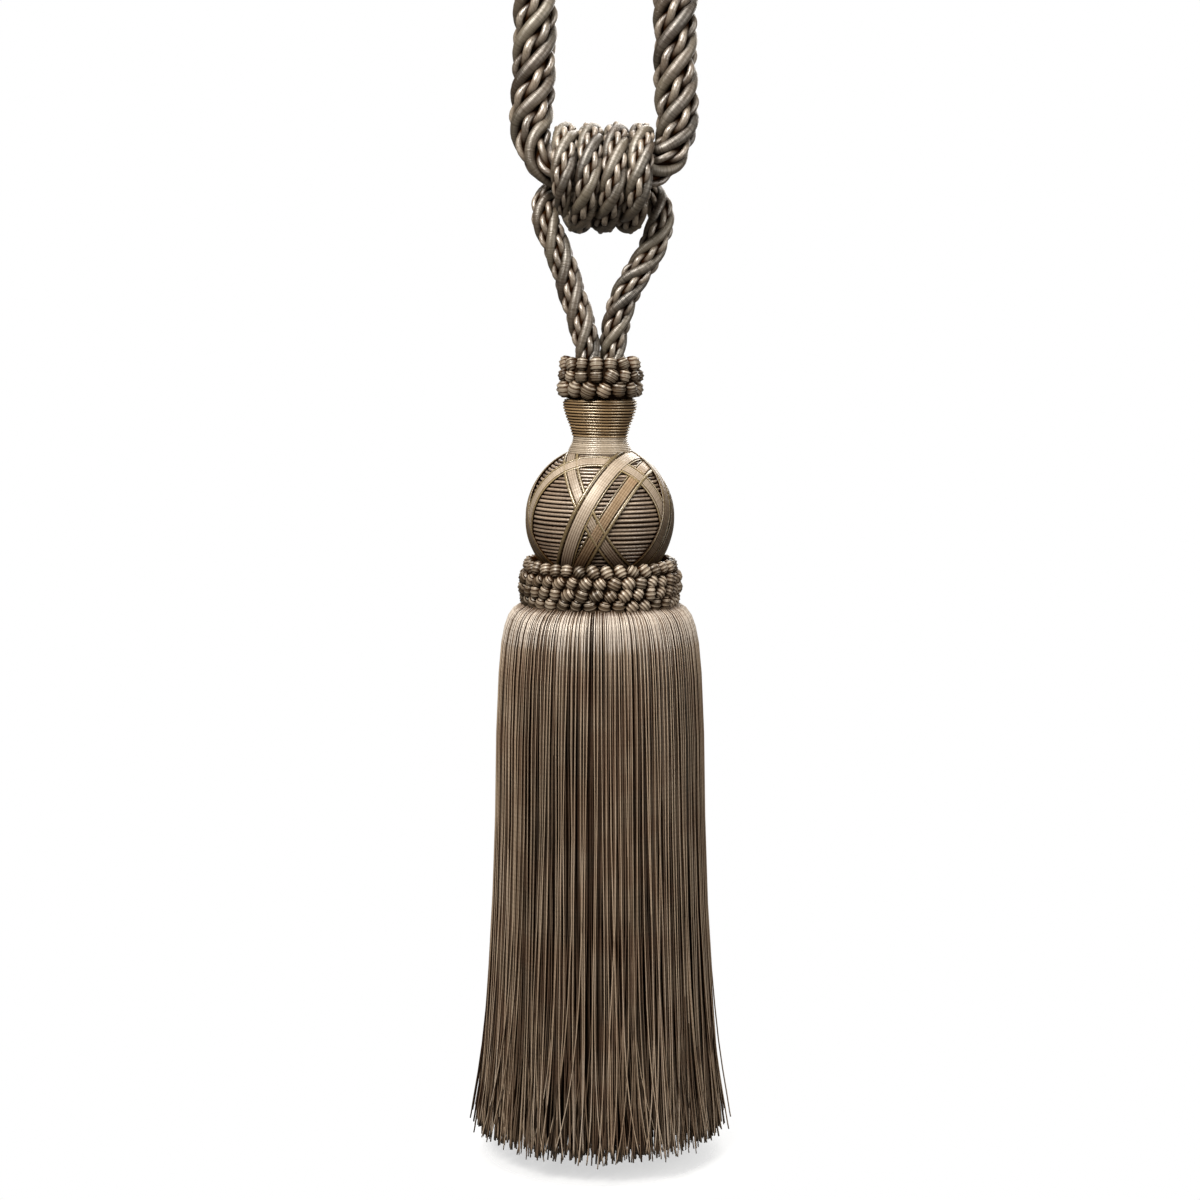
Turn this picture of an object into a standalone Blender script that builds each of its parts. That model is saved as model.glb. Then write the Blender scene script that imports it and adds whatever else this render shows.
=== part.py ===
"""Curtain tieback tassel: one large silk tassel on a twisted rope loop.

The loop hangs from a hook at its crown. Its two ends meet inside a barrel of
wrapped cord, and an eye of the same cord carries the tassel below: a small
knotted collar, a turned and wound head with crossed straps, a wide knotted
collar and a long bullion skirt. Metres, +Z up; the origin is where the hook
bears on the loop, and the viewer stands on the -Y side.
"""

import math
import random

import bmesh
import bpy
from mathutils import Matrix, Vector

MM = 0.001
COLLECTION = "tieback_tassel"
GUIDES = "guides"
GAP = 0.3 * MM
MERGE = 0.01 * MM
SHARP_DEG = 40.0

# Heights below the hook, the driving dimensions of the drop.
BARREL_Z = -79.3 * MM
UPPER_COLLAR_TOP_Z = -137.4 * MM
UPPER_COLLAR_BOTTOM_Z = -150.9 * MM
BALL_Z = -190.6 * MM
LOWER_COLLAR_TOP_Z = -204.6 * MM
LOWER_COLLAR_BOTTOM_Z = -218.6 * MM
HEM_Z = -398.0 * MM

# Ropes: three smooth strands and three two-ply strands laid together.
EMBRACE_DIAMETER = 14.6 * MM
EMBRACE_LAY = 40.0 * MM
EMBRACE_STEP = 3.1 * MM
EYE_DIAMETER = 9.5 * MM
EYE_LAY = 37.0 * MM
EYE_STEP = 3.5 * MM
WRAP_DIAMETER = 8.0 * MM
WRAP_LAY = 41.0 * MM
WRAP_STEP = 4.0 * MM
STRANDS = 6
SMOOTH_LOBE = 1.0
PLIED_LOBE = 0.97
GROOVE = 0.8
SQUEEZE_IN_BARREL = 0.86
SQUEEZE_IN_COLLAR = 0.9
EYE_BEHIND_Y = 3.0 * MM
STEPS_BETWEEN = 20
SOFTENED_OVER = 5

# The loop: two hanging legs and a half round crown.
LEG_LEFT_X = -21.0 * MM
LEG_RIGHT_X = 24.3 * MM
CROWN_Z = EMBRACE_DIAMETER / 2
CROWN_RADIUS = (LEG_RIGHT_X - LEG_LEFT_X) / 2
CROWN_POINTS = 7

# The barrel: a helix of cord, oval in depth so that it holds both ropes.
TURN_PITCH = 8.2 * MM
FIRST_TOP_X = -11.1 * MM
WRAP_HALF_HEIGHT = 13.9 * MM
WRAP_HALF_DEPTH = 16.2 * MM
WRAP_START_DEG = -146.0
WRAP_END_DEG = 1183.0
WRAP_POINT_DEG = 11.0
WRAP_TAIL_DEG = 62.0
WRAP_TAIL_SHARE = 0.42
WRAP_TAIL_PULL = 1.9 * MM
WRAP_LEAN = 1.2 * MM

# Knotted collars: rows of raised knots from the top down, each one a share of
# the collar's height, the knots' outer radius and the row's turn in knots.
KNOT_STEPS = 3
UPPER_KNOTS = 16
UPPER_ROWS = (
    (0.18, 12.4 * MM, 0.0),
    (0.48, 12.9 * MM, 0.5),
    (0.82, 13.5 * MM, 0.0),
)
UPPER_BORE = 9.7 * MM
LOWER_KNOTS = 36
LOWER_ROWS = (
    (0.12, 25.2 * MM, 0.0),
    (0.38, 26.4 * MM, 0.333),
    (0.63, 26.8 * MM, 0.667),
    (0.88, 26.6 * MM, 1.0),
)
KNOT_HEIGHT = 1.6 * MM
SEAT_DEPTH = 18.5 * MM
SEAT_EASE = 0.05 * MM

# Head: neck, throat and ball, one turned form. The neck's line runs from the
# middle of its dished top, over the rim and down the throat.
NECK_LINE = (
    (0.0, -153.4 * MM),
    (9.4 * MM, -153.4 * MM),
    (10.6 * MM, -151.5 * MM),
    (11.8 * MM, -151.3 * MM),
    (12.2 * MM, -153.0 * MM),
    (11.3 * MM, -156.5 * MM),
    (9.9 * MM, -159.6 * MM),
    (9.1 * MM, -163.0 * MM),
    (9.4 * MM, -165.2 * MM),
    (10.1 * MM, -166.8 * MM),
)
BALL_RADIUS = 24.5 * MM
FLARE_ANGLE_DEG = 26.4
STUB_ANGLE_DEG = 152.0
BALL_RINGS = 10
STUB_RADIUS = 11.4 * MM
STUB_BOTTOM_Z = LOWER_COLLAR_BOTTOM_Z + 0.2 * MM
HEAD_STEPS = 36

# Straps: bands on great circles, from the lowest to the topmost, each the
# azimuth of its circle's axis and how far that axis dips, in degrees.
STRAPS = (
    (104.0, 30.5),
    (69.0, 30.5),
    (-106.0, 37.0),
    (-75.0, 41.0),
    (173.5, 31.0),
    (6.0, 35.6),
    (-15.4, 31.0),
)
STRAP_WIDTH = 4.5 * MM
STRAP_THICKNESS = 0.75 * MM
STRAP_LIFT = 0.09 * MM
STRAP_STEPS = 26

# Skirt: locks of bullion fringe fused into a ring under the wide collar.
LOCKS_AROUND = 48
BACKING_TOP_Z = LOWER_COLLAR_BOTTOM_Z - GAP
BACKING_THICKNESS = 2.0 * MM
BACKING_RADII = (27.2 * MM, 23.9 * MM, 20.4 * MM, 16.8 * MM, 11.0 * MM)
FACES_DOWN = -0.9
LOCK_THICKNESS = 1.6 * MM
LOCK_DRIFT = 0.2 * MM
HEM_UNEVENNESS = 2.5 * MM
SEED = 7

# One row for each ring of locks: tangential width, turn share, use every n-th
# cell, and the outer line as (radius, height) points.
LOCK_RINGS = (
    (
        3.1 * MM,
        0.0,
        1,
        (
            (29.4 * MM, -221.9 * MM),
            (32.0 * MM, -226.9 * MM),
            (33.4 * MM, -234.0 * MM),
            (34.8 * MM, -272.0 * MM),
            (36.6 * MM, -327.0 * MM),
            (42.3 * MM, HEM_Z),
        ),
    ),
    (
        2.9 * MM,
        0.5,
        1,
        (
            (27.3 * MM, -226.0 * MM),
            (30.4 * MM, -240.0 * MM),
            (33.6 * MM, -322.0 * MM),
            (38.9 * MM, HEM_Z),
        ),
    ),
    (
        3.0 * MM,
        0.0,
        2,
        (
            (21.5 * MM, -232.0 * MM),
            (27.5 * MM, -310.0 * MM),
            (33.0 * MM, HEM_Z + 3.0 * MM),
        ),
    ),
)

# Colours of the plain materials: (base colour, roughness, metallic).
FINISHES = {
    "rope": ((0.17, 0.14, 0.10, 1.0), 0.45, 0.0),
    "knots": ((0.20, 0.16, 0.12, 1.0), 0.45, 0.0),
    "head": ((0.24, 0.18, 0.13, 1.0), 0.5, 0.0),
    "strap": ((0.55, 0.47, 0.32, 1.0), 0.4, 0.0),
    "fringe": ((0.22, 0.17, 0.13, 1.0), 0.5, 0.0),
}


def clear_scene():
    """Remove whatever the file opened with."""
    for old in list(bpy.data.objects):
        bpy.data.objects.remove(old, do_unlink=True)


def new_collection(name):
    made = bpy.data.collections.new(name)
    bpy.context.scene.collection.children.link(made)
    return made


def new_material(name):
    colour, roughness, metallic = FINISHES[name]
    made = bpy.data.materials.new(name)
    made.use_nodes = True
    shader = made.node_tree.nodes["Principled BSDF"]
    shader.inputs["Base Color"].default_value = colour
    shader.inputs["Roughness"].default_value = roughness
    shader.inputs["Metallic"].default_value = metallic
    return made


def add_object(name, data, collection, material):
    made = bpy.data.objects.new(name, data)
    collection.objects.link(made)
    if material is not None:
        data.materials.append(material)
    return made


def mark_as_guide(item):
    item.hide_render = True
    item.display_type = "WIRE"


def add_mesh(name, bm, collection, material):
    bmesh.ops.recalc_face_normals(bm, faces=bm.faces)
    mesh = bpy.data.meshes.new(name)
    bm.to_mesh(mesh)
    bm.free()
    mesh.shade_smooth()
    mesh.set_sharp_from_angle(angle=math.radians(SHARP_DEG))
    return add_object(name, mesh, collection, material)


def spin_closed(bm, verts, steps):
    """Turn a closed outline once around the Z axis into a ring."""
    edges = [bm.edges.new((a, b)) for a, b in zip(verts, verts[1:] + verts[:1])]
    bmesh.ops.spin(
        bm,
        geom=verts + edges,
        cent=(0, 0, 0),
        axis=(0, 0, 1),
        angle=math.tau,
        steps=steps,
        use_merge=True,
    )
    bmesh.ops.remove_doubles(bm, verts=bm.verts, dist=MERGE)


# ---------------------------------------------------------------- ropes


def between(a, b, c, d, t):
    """Catmull-Rom point between b and c."""
    line = 2 * b + (c - a) * t
    bend = (2 * a - 5 * b + 4 * c - d) * t * t
    twist = (3 * b - a - 3 * c + d) * t * t * t
    return (line + bend + twist) / 2


def smooth_route(points, step):
    """Evenly spaced points on one smooth curve through the route's own."""
    route = [Vector(p) for p in points]
    route = [2 * route[0] - route[1], *route, 2 * route[-1] - route[-2]]
    dense = []
    for i in range(1, len(route) - 2):
        for t in range(STEPS_BETWEEN):
            dense.append(between(*route[i - 1 : i + 3], t / STEPS_BETWEEN))
    dense.append(route[-2])
    lengths = [(b - a).length for a, b in zip(dense, dense[1:])]
    count = round(sum(lengths) / step)
    spacing = sum(lengths) / count
    even = [dense[0]]
    walked = 0.0
    for start, end, length in zip(dense, dense[1:], lengths):
        while len(even) < count and walked + length >= spacing * len(even):
            even.append(start.lerp(end, (spacing * len(even) - walked) / length))
        walked += length
    return [*even, dense[-1]]


def rope_section(name, diameter, guides):
    """The rope's cut face: smooth and plied strands by turns, with grooves."""
    curve = bpy.data.curves.new(name, "CURVE")
    curve.dimensions = "2D"
    spline = curve.splines.new("POLY")
    spline.points.add(2 * STRANDS - 1)
    spline.use_cyclic_u = True
    lobes = (SMOOTH_LOBE, GROOVE, PLIED_LOBE, GROOVE)
    for i, point in enumerate(spline.points):
        radius = diameter / 2 * lobes[i % len(lobes)]
        angle = -math.pi * i / STRANDS
        point.co = (radius * math.cos(angle), radius * math.sin(angle), 0.0, 1.0)
    section = add_object(name, curve, guides, None)
    mark_as_guide(section)
    return section


def laid_rope(name, route, diameter, lay, shares, collection, guides, material):
    """A rope along the route: its section turns once in each lay length, and
    shares gives how thick it is at each point."""
    curve = bpy.data.curves.new(name, "CURVE")
    curve.dimensions = "3D"
    curve.twist_mode = "MINIMUM"
    curve.bevel_mode = "OBJECT"
    curve.bevel_object = rope_section(name + "_section", diameter, guides)
    curve.use_fill_caps = True
    spline = curve.splines.new("POLY")
    spline.points.add(len(route) - 1)
    spline.use_smooth = False
    walked = 0.0
    previous = route[0]
    for point, place, share in zip(spline.points, route, shares):
        walked += (place - previous).length
        previous = place
        point.co = (*place, 1.0)
        point.tilt = math.tau * walked / lay
        point.radius = share
    return add_object(name, curve, collection, material)


def embrace_points():
    """Centre line of the loop: from inside the barrel up one leg, over the
    crown and down the other leg, back into the barrel."""
    right = [
        (1.7, -4.6, -77.6),
        (9.0, -4.6, -77.6),
        (15.4, -4.1, -77.1),
        (21.4, -2.9, -73.3),
        (24.6, -1.0, -65.6),
        (24.9, 0.0, -57.0),
        (24.5, 0.0, -44.0),
        (24.3, 0.0, -28.0),
    ]
    left = [
        (-21.0, 0.0, -28.0),
        (-21.3, 0.0, -44.0),
        (-22.2, 0.0, -57.0),
        (-22.2, -1.0, -66.0),
        (-19.0, -2.9, -73.4),
        (-13.0, -4.2, -76.9),
        (-6.6, -4.6, -77.6),
        (0.9, -4.6, -77.6),
    ]
    centre_x = (LEG_LEFT_X + LEG_RIGHT_X) / 2
    spring_z = CROWN_Z - CROWN_RADIUS
    crown = []
    for i in range(CROWN_POINTS):
        angle = math.pi * i / (CROWN_POINTS - 1)
        x = centre_x + CROWN_RADIUS * math.cos(angle)
        crown.append((x, 0.0, spring_z + CROWN_RADIUS * math.sin(angle)))
    right = [(x * MM, y * MM, z * MM) for x, y, z in right]
    left = [(x * MM, y * MM, z * MM) for x, y, z in left]
    return right + crown + left


def eye_points():
    """Centre line of the eye: up from the tassel, through the barrel behind
    the loop's ends, and down again."""
    points = [
        (-3.9, -2.1, -152.6),
        (-3.9, -2.1, -143.0),
        (-4.1, -1.9, -135.4),
        (-5.8, -1.0, -127.0),
        (-9.2, 0.0, -116.4),
        (-12.8, 0.0, -105.2),
        (-16.9, 0.8, -95.2),
        (-18.3, 2.2, -89.4),
        (-17.0, 4.6, -84.9),
        (-11.6, 6.7, -82.2),
        (-4.0, 7.3, -81.6),
        (6.0, 7.3, -81.6),
        (13.6, 6.7, -82.4),
        (18.6, 4.6, -85.8),
        (19.8, 2.2, -91.0),
        (18.5, 0.8, -98.4),
        (14.4, 0.2, -106.8),
        (9.4, 0.0, -114.6),
        (5.9, 1.0, -124.0),
        (4.2, 1.9, -134.0),
        (3.9, 2.1, -143.0),
        (3.9, 2.1, -152.6),
    ]
    return [(x * MM, y * MM, z * MM) for x, y, z in points]


def wrap_point(degrees):
    """Centre of the wrapping cord. Zero is the first turn's top; the turns
    run over to the back, down, and up the front, moving to the right. Each
    tail is pulled against its neighbouring turn."""
    angle = math.radians(degrees)
    head_tail = max(WRAP_START_DEG + WRAP_TAIL_DEG - degrees, 0.0) / WRAP_TAIL_DEG
    end_tail = max(degrees - WRAP_END_DEG + WRAP_TAIL_DEG, 0.0) / WRAP_TAIL_DEG
    x = FIRST_TOP_X + TURN_PITCH * angle / math.tau - WRAP_LEAN * math.sin(angle)
    x += WRAP_TAIL_PULL * (head_tail**2 - end_tail**2)
    y = WRAP_HALF_DEPTH * math.sin(angle)
    z = BARREL_Z + WRAP_HALF_HEIGHT * math.cos(angle)
    return (x, y, z)


def build_ropes(collection, guides, material):
    def laid(name, route, diameter, lay, shares):
        laid_rope(name, route, diameter, lay, shares, collection, guides, material)

    route = smooth_route(embrace_points(), EMBRACE_STEP)
    shares = []
    for point in route:
        in_barrel = point.z < BARREL_Z + EMBRACE_DIAMETER
        shares.append(SQUEEZE_IN_BARREL if in_barrel else 1.0)
    laid("embrace_rope", route, EMBRACE_DIAMETER, EMBRACE_LAY, soften(shares))

    route = smooth_route(eye_points(), EYE_STEP)
    shares = []
    for point in route:
        in_collar = point.z < UPPER_COLLAR_TOP_Z + EYE_DIAMETER / 2
        in_barrel = point.y > EYE_BEHIND_Y
        outside = SQUEEZE_IN_BARREL if in_barrel else 1.0
        shares.append(SQUEEZE_IN_COLLAR if in_collar else outside)
    laid("eye_cord", route, EYE_DIAMETER, EYE_LAY, soften(shares))

    sweep = WRAP_END_DEG - WRAP_START_DEG
    count = round(sweep / WRAP_POINT_DEG)
    degrees = [WRAP_START_DEG + sweep * i / count for i in range(count + 1)]
    route = smooth_route([wrap_point(d) for d in degrees], WRAP_STEP)
    last = len(route) - 1
    tail = last * WRAP_TAIL_DEG / sweep
    shares = []
    for i in range(len(route)):
        near_end = min(i, last - i, tail) / tail
        shares.append(WRAP_TAIL_SHARE + (1 - WRAP_TAIL_SHARE) * near_end)
    laid("wrap_cord", route, WRAP_DIAMETER, WRAP_LAY, shares)


def soften(shares):
    """Each share averaged with its neighbours, so the rope narrows gently."""
    margin = SOFTENED_OVER // 2
    padded = [shares[0]] * margin + shares + [shares[-1]] * margin
    windows = [padded[i : i + SOFTENED_OVER] for i in range(len(shares))]
    return [sum(window) / SOFTENED_OVER for window in windows]


# -------------------------------------------------------------- collars


def knotted_collar(name, top_z, bottom_z, rows, knots, inner_line, collection, material):
    """A turned ring whose outer face carries rows of raised knots.

    inner_line holds the (radius, z) points of its bore, from the bottom up."""
    height = top_z - bottom_z
    outline = [(rows[0][1] - KNOT_HEIGHT, top_z)]
    knot_of = {}
    for i, (share, radius, turn) in enumerate(rows):
        knot_of[len(outline)] = turn
        outline.append((radius, top_z - share * height))
        if i + 1 < len(rows):
            low_share = (share + rows[i + 1][0]) / 2
            low_radius = (radius + rows[i + 1][1]) / 2 - KNOT_HEIGHT
            outline.append((low_radius, top_z - low_share * height))
    outline.append((rows[-1][1] - KNOT_HEIGHT, bottom_z))
    outline += inner_line

    bm = bmesh.new()
    row_layer = bm.verts.layers.float.new("row")
    verts = []
    for i, (radius, z) in enumerate(outline):
        vert = bm.verts.new((radius, 0.0, z))
        vert[row_layer] = i + 1 if i in knot_of else 0
        verts.append(vert)
    spin_closed(bm, verts, knots * KNOT_STEPS)
    for vert in bm.verts:
        row = round(vert[row_layer])
        if row:
            turn = math.atan2(vert.co.y, vert.co.x) * knots / math.tau
            phase = math.tau * (turn - knot_of[row - 1] + 0.5 / KNOT_STEPS)
            lowered = KNOT_HEIGHT * (1 + math.cos(phase)) / 2
            flat = Vector((vert.co.x, vert.co.y, 0.0))
            vert.co -= flat.normalized() * lowered
    return add_mesh(name, bm, collection, material)


def build_collars(collection, material):
    bore = [(UPPER_BORE, UPPER_COLLAR_BOTTOM_Z), (UPPER_BORE, UPPER_COLLAR_TOP_Z)]
    knotted_collar(
        "upper_collar",
        UPPER_COLLAR_TOP_Z,
        UPPER_COLLAR_BOTTOM_Z,
        UPPER_ROWS,
        UPPER_KNOTS,
        bore,
        collection,
        material,
    )
    # The bore follows the ball down to the seat, and is straight below it.
    seat = []
    for z in (LOWER_COLLAR_BOTTOM_Z, BALL_Z - SEAT_DEPTH, LOWER_COLLAR_TOP_Z):
        drop = min(BALL_Z - z, SEAT_DEPTH)
        radius = math.sqrt((BALL_RADIUS + GAP) ** 2 - drop**2)
        seat.append((radius + SEAT_EASE, z))
    knotted_collar(
        "lower_collar",
        LOWER_COLLAR_TOP_Z,
        LOWER_COLLAR_BOTTOM_Z,
        LOWER_ROWS,
        LOWER_KNOTS,
        seat,
        collection,
        material,
    )


# ----------------------------------------------------------------- head


def head_outline():
    """The turned form's (radius, z) line from the top's centre to the
    bottom's: dished top, flared neck, throat, ball and stub."""
    outline = list(NECK_LINE)
    for i in range(BALL_RINGS + 1):
        share = i / BALL_RINGS
        down = FLARE_ANGLE_DEG + (STUB_ANGLE_DEG - FLARE_ANGLE_DEG) * share
        radius = BALL_RADIUS * math.sin(math.radians(down))
        outline.append((radius, BALL_Z + BALL_RADIUS * math.cos(math.radians(down))))
    outline += [(STUB_RADIUS, STUB_BOTTOM_Z), (0.0, STUB_BOTTOM_Z)]
    return outline


def build_head(collection, material):
    outline = head_outline()
    mesh = bpy.data.meshes.new("head")
    edges = [(i, i + 1) for i in range(len(outline) - 1)]
    mesh.from_pydata([(radius, 0.0, z) for radius, z in outline], edges, [])
    head = add_object("head", mesh, collection, material)
    turn = head.modifiers.new("turned", "SCREW")
    turn.axis = "Z"
    turn.angle = math.tau
    turn.steps = HEAD_STEPS
    turn.render_steps = HEAD_STEPS
    turn.use_merge_vertices = True
    turn.merge_threshold = MERGE
    turn.use_smooth_shade = True


def strap_band(azimuth, dip, lift):
    """One band around the ball, cut off just above the wide collar."""
    inner = BALL_RADIUS + GAP + lift
    outer = inner + STRAP_THICKNESS
    side = STRAP_WIDTH / 2
    bm = bmesh.new()
    verts = []
    for radius, z in ((inner, -side), (outer, -side), (outer, side), (inner, side)):
        verts.append(bm.verts.new((radius, 0.0, z)))
    spin_closed(bm, verts, STRAP_STEPS)
    tilt = Matrix.Rotation(math.radians(90 + dip), 4, "Y")
    turn = Matrix.Rotation(math.radians(azimuth), 4, "Z")
    place = Matrix.Translation((0, 0, BALL_Z))
    bmesh.ops.transform(bm, matrix=place @ turn @ tilt, verts=bm.verts)
    everything = [*bm.verts, *bm.edges, *bm.faces]
    cut = bmesh.ops.bisect_plane(
        bm,
        geom=everything,
        plane_co=(0, 0, LOWER_COLLAR_TOP_Z + GAP),
        plane_no=(0, 0, -1),
        clear_outer=True,
    )
    rim = [item for item in cut["geom_cut"] if isinstance(item, bmesh.types.BMEdge)]
    bmesh.ops.holes_fill(bm, edges=rim, sides=0)
    return bm


def build_straps(collection, guides, material):
    straps = None
    for i, (azimuth, dip) in enumerate(STRAPS):
        band = strap_band(azimuth, dip, i * STRAP_LIFT)
        if straps is None:
            straps = add_mesh("straps", band, collection, material)
            continue
        other = add_mesh(f"strap_{i}", band, guides, None)
        mark_as_guide(other)
        join = straps.modifiers.new(f"strap_{i}", "BOOLEAN")
        join.operation = "UNION"
        join.object = other


# ---------------------------------------------------------------- skirt


def build_skirt(collection, material):
    """A backing ring whose underside is drawn down into locks of fringe."""
    rng = random.Random(SEED)
    bottom_z = BACKING_TOP_Z - BACKING_THICKNESS
    bm = bmesh.new()
    outline = [(BACKING_RADII[0], BACKING_TOP_Z)]
    outline += [(radius, bottom_z) for radius in BACKING_RADII]
    outline.append((BACKING_RADII[-1], BACKING_TOP_Z))
    verts = [bm.verts.new((radius, 0.0, z)) for radius, z in outline]
    spin_closed(bm, verts, LOCKS_AROUND)
    bmesh.ops.recalc_face_normals(bm, faces=bm.faces)

    cells = {ring: [] for ring in range(len(LOCK_RINGS))}
    for face in bm.faces:
        middle = face.calc_center_median()
        radius = math.hypot(middle.x, middle.y)
        if face.normal.z > FACES_DOWN:
            continue
        for ring, (_, _, every, _) in enumerate(LOCK_RINGS):
            if BACKING_RADII[ring + 1] < radius < BACKING_RADII[ring]:
                turn = math.atan2(middle.y, middle.x) / math.tau * LOCKS_AROUND
                if math.floor(turn) % every == 0:
                    cells[ring].append(face)

    for ring, (width, turn_share, _, line) in enumerate(LOCK_RINGS):
        for face in sorted(cells[ring], key=azimuth_of):
            draw_lock(bm, face, width, turn_share, line, rng)
    return add_mesh("skirt", bm, collection, material)


def azimuth_of(face):
    middle = face.calc_center_median()
    return math.atan2(middle.y, middle.x)


def draw_lock(bm, face, width, turn_share, line, rng):
    """Draw one cell of the backing down along a lock's line. The cell's two
    inner corners stay inner, and its left and right corners stay so too."""
    middle = face.calc_center_median()
    turn = azimuth_of(face)
    shift = math.tau / LOCKS_AROUND * turn_share
    drift = rng.uniform(-1, 1)
    longer = rng.uniform(-1, 1) * HEM_UNEVENNESS
    before = Vector((math.hypot(middle.x, middle.y), middle.z))
    outer_way = Vector((math.cos(turn), math.sin(turn), 0.0))
    for i, (radius, z) in enumerate(line):
        share = (i + 1) / len(line)
        last = i == len(line) - 1
        here = Vector((radius - LOCK_THICKNESS / 2, z + (longer if last else 0.0)))
        after = here if last else Vector(line[i + 1])
        along = (after - before).normalized()
        before = here
        angle = turn + shift * min(1.0, 2 * share)
        angle += LOCK_DRIFT * drift * share * i / radius
        outward = Vector((math.cos(angle), math.sin(angle), 0.0))
        sideways = Vector((-math.sin(angle), math.cos(angle), 0.0))
        thick = outward * -along.y + Vector((0, 0, along.x))
        made = bmesh.ops.extrude_discrete_faces(bm, faces=[face])
        face = made["faces"][0]
        centre = face.calc_center_median()
        turned = azimuth_of(face)
        across = Vector((-math.sin(turned), math.cos(turned), 0.0))
        for vert in face.verts:
            offset = vert.co - centre
            side = 1 if offset.dot(across) > 0 else -1
            out = 1 if offset.dot(outer_way) > 0 else -1
            place = outward * here.x + sideways * side * width / 2
            place += thick * out * LOCK_THICKNESS / 2
            vert.co = place + Vector((0, 0, here.y))
        outer_way = thick


def main():
    clear_scene()
    parts = new_collection(COLLECTION)
    guides = new_collection(GUIDES)
    materials = {name: new_material(name) for name in FINISHES}
    build_ropes(parts, guides, materials["rope"])
    build_collars(parts, materials["knots"])
    build_head(parts, materials["head"])
    build_straps(parts, guides, materials["strap"])
    build_skirt(parts, materials["fringe"])


main()
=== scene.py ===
"""Curtain tieback tassel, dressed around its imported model.

The ropes are laid from smooth gimp and two-ply cords, the collars are rows of
wound knots, the head is wound with thread and crossed by flat straps, and the
skirt is some two thousand fine twisted strands. Metres, +Z up; the origin is
where the hook bears on the loop, and the viewer stands on the -Y side.
"""

from __future__ import annotations

import logging
import random
from dataclasses import dataclass, replace
from enum import Enum
from functools import cache
from math import atan2, cos, dist, pi, radians, sin, tau
from typing import Callable, Iterable, Sequence

import bmesh
import bpy
import numpy as np
from mathutils import Matrix, Vector

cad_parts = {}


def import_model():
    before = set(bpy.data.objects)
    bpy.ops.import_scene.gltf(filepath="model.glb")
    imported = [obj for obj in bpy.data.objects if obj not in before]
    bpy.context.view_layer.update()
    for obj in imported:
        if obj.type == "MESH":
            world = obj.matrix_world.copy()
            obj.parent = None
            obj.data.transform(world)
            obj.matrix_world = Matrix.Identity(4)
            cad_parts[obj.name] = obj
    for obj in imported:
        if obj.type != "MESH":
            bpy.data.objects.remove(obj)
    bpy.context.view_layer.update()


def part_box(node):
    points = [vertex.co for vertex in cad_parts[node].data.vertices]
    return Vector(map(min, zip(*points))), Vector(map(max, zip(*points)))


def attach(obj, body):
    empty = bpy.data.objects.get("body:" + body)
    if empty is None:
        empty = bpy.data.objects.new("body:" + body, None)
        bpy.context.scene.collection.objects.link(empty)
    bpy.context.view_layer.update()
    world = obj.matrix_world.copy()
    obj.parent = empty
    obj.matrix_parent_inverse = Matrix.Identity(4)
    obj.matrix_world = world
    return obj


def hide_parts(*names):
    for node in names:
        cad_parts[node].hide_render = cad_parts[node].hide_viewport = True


LOG = logging.getLogger("tassel")
MM = 0.001
BODY = "root"
MERGE = 0.005 * MM  # points of a rolled strand that are this close are one
SEAM = 0.0001 * MM  # the same where a full turn closes
NOISE_SPAN = (0.3, 0.7)  # what a noise's values mostly fill
STRAND_MAP = "strand_map"
TONE = "tone"
# The warm brown that painted shade darkens a thread's colour towards.
WARM_SHADE = (0.10, 0.046, 0.016, 1.0)
WHITE = (1.0, 1.0, 1.0, 1.0)

Point = tuple[float, float, float]
Colour = tuple[float, float, float]
Numbers = Sequence[float]
Points = Sequence[Numbers]
Array = np.ndarray
Node = bpy.types.Node
Socket = bpy.types.NodeSocket
Mesh = bpy.types.Mesh
Object = bpy.types.Object
Material = bpy.types.Material


class Slot(Enum):
    """The record's material slots; each piece is handed the slot of its finish, which goes unused."""

    ROPE = "rope"
    KNOTS = "knots"
    HEAD = "head"
    STRAP = "strap"
    FRINGE = "fringe"


# Finishes


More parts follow.
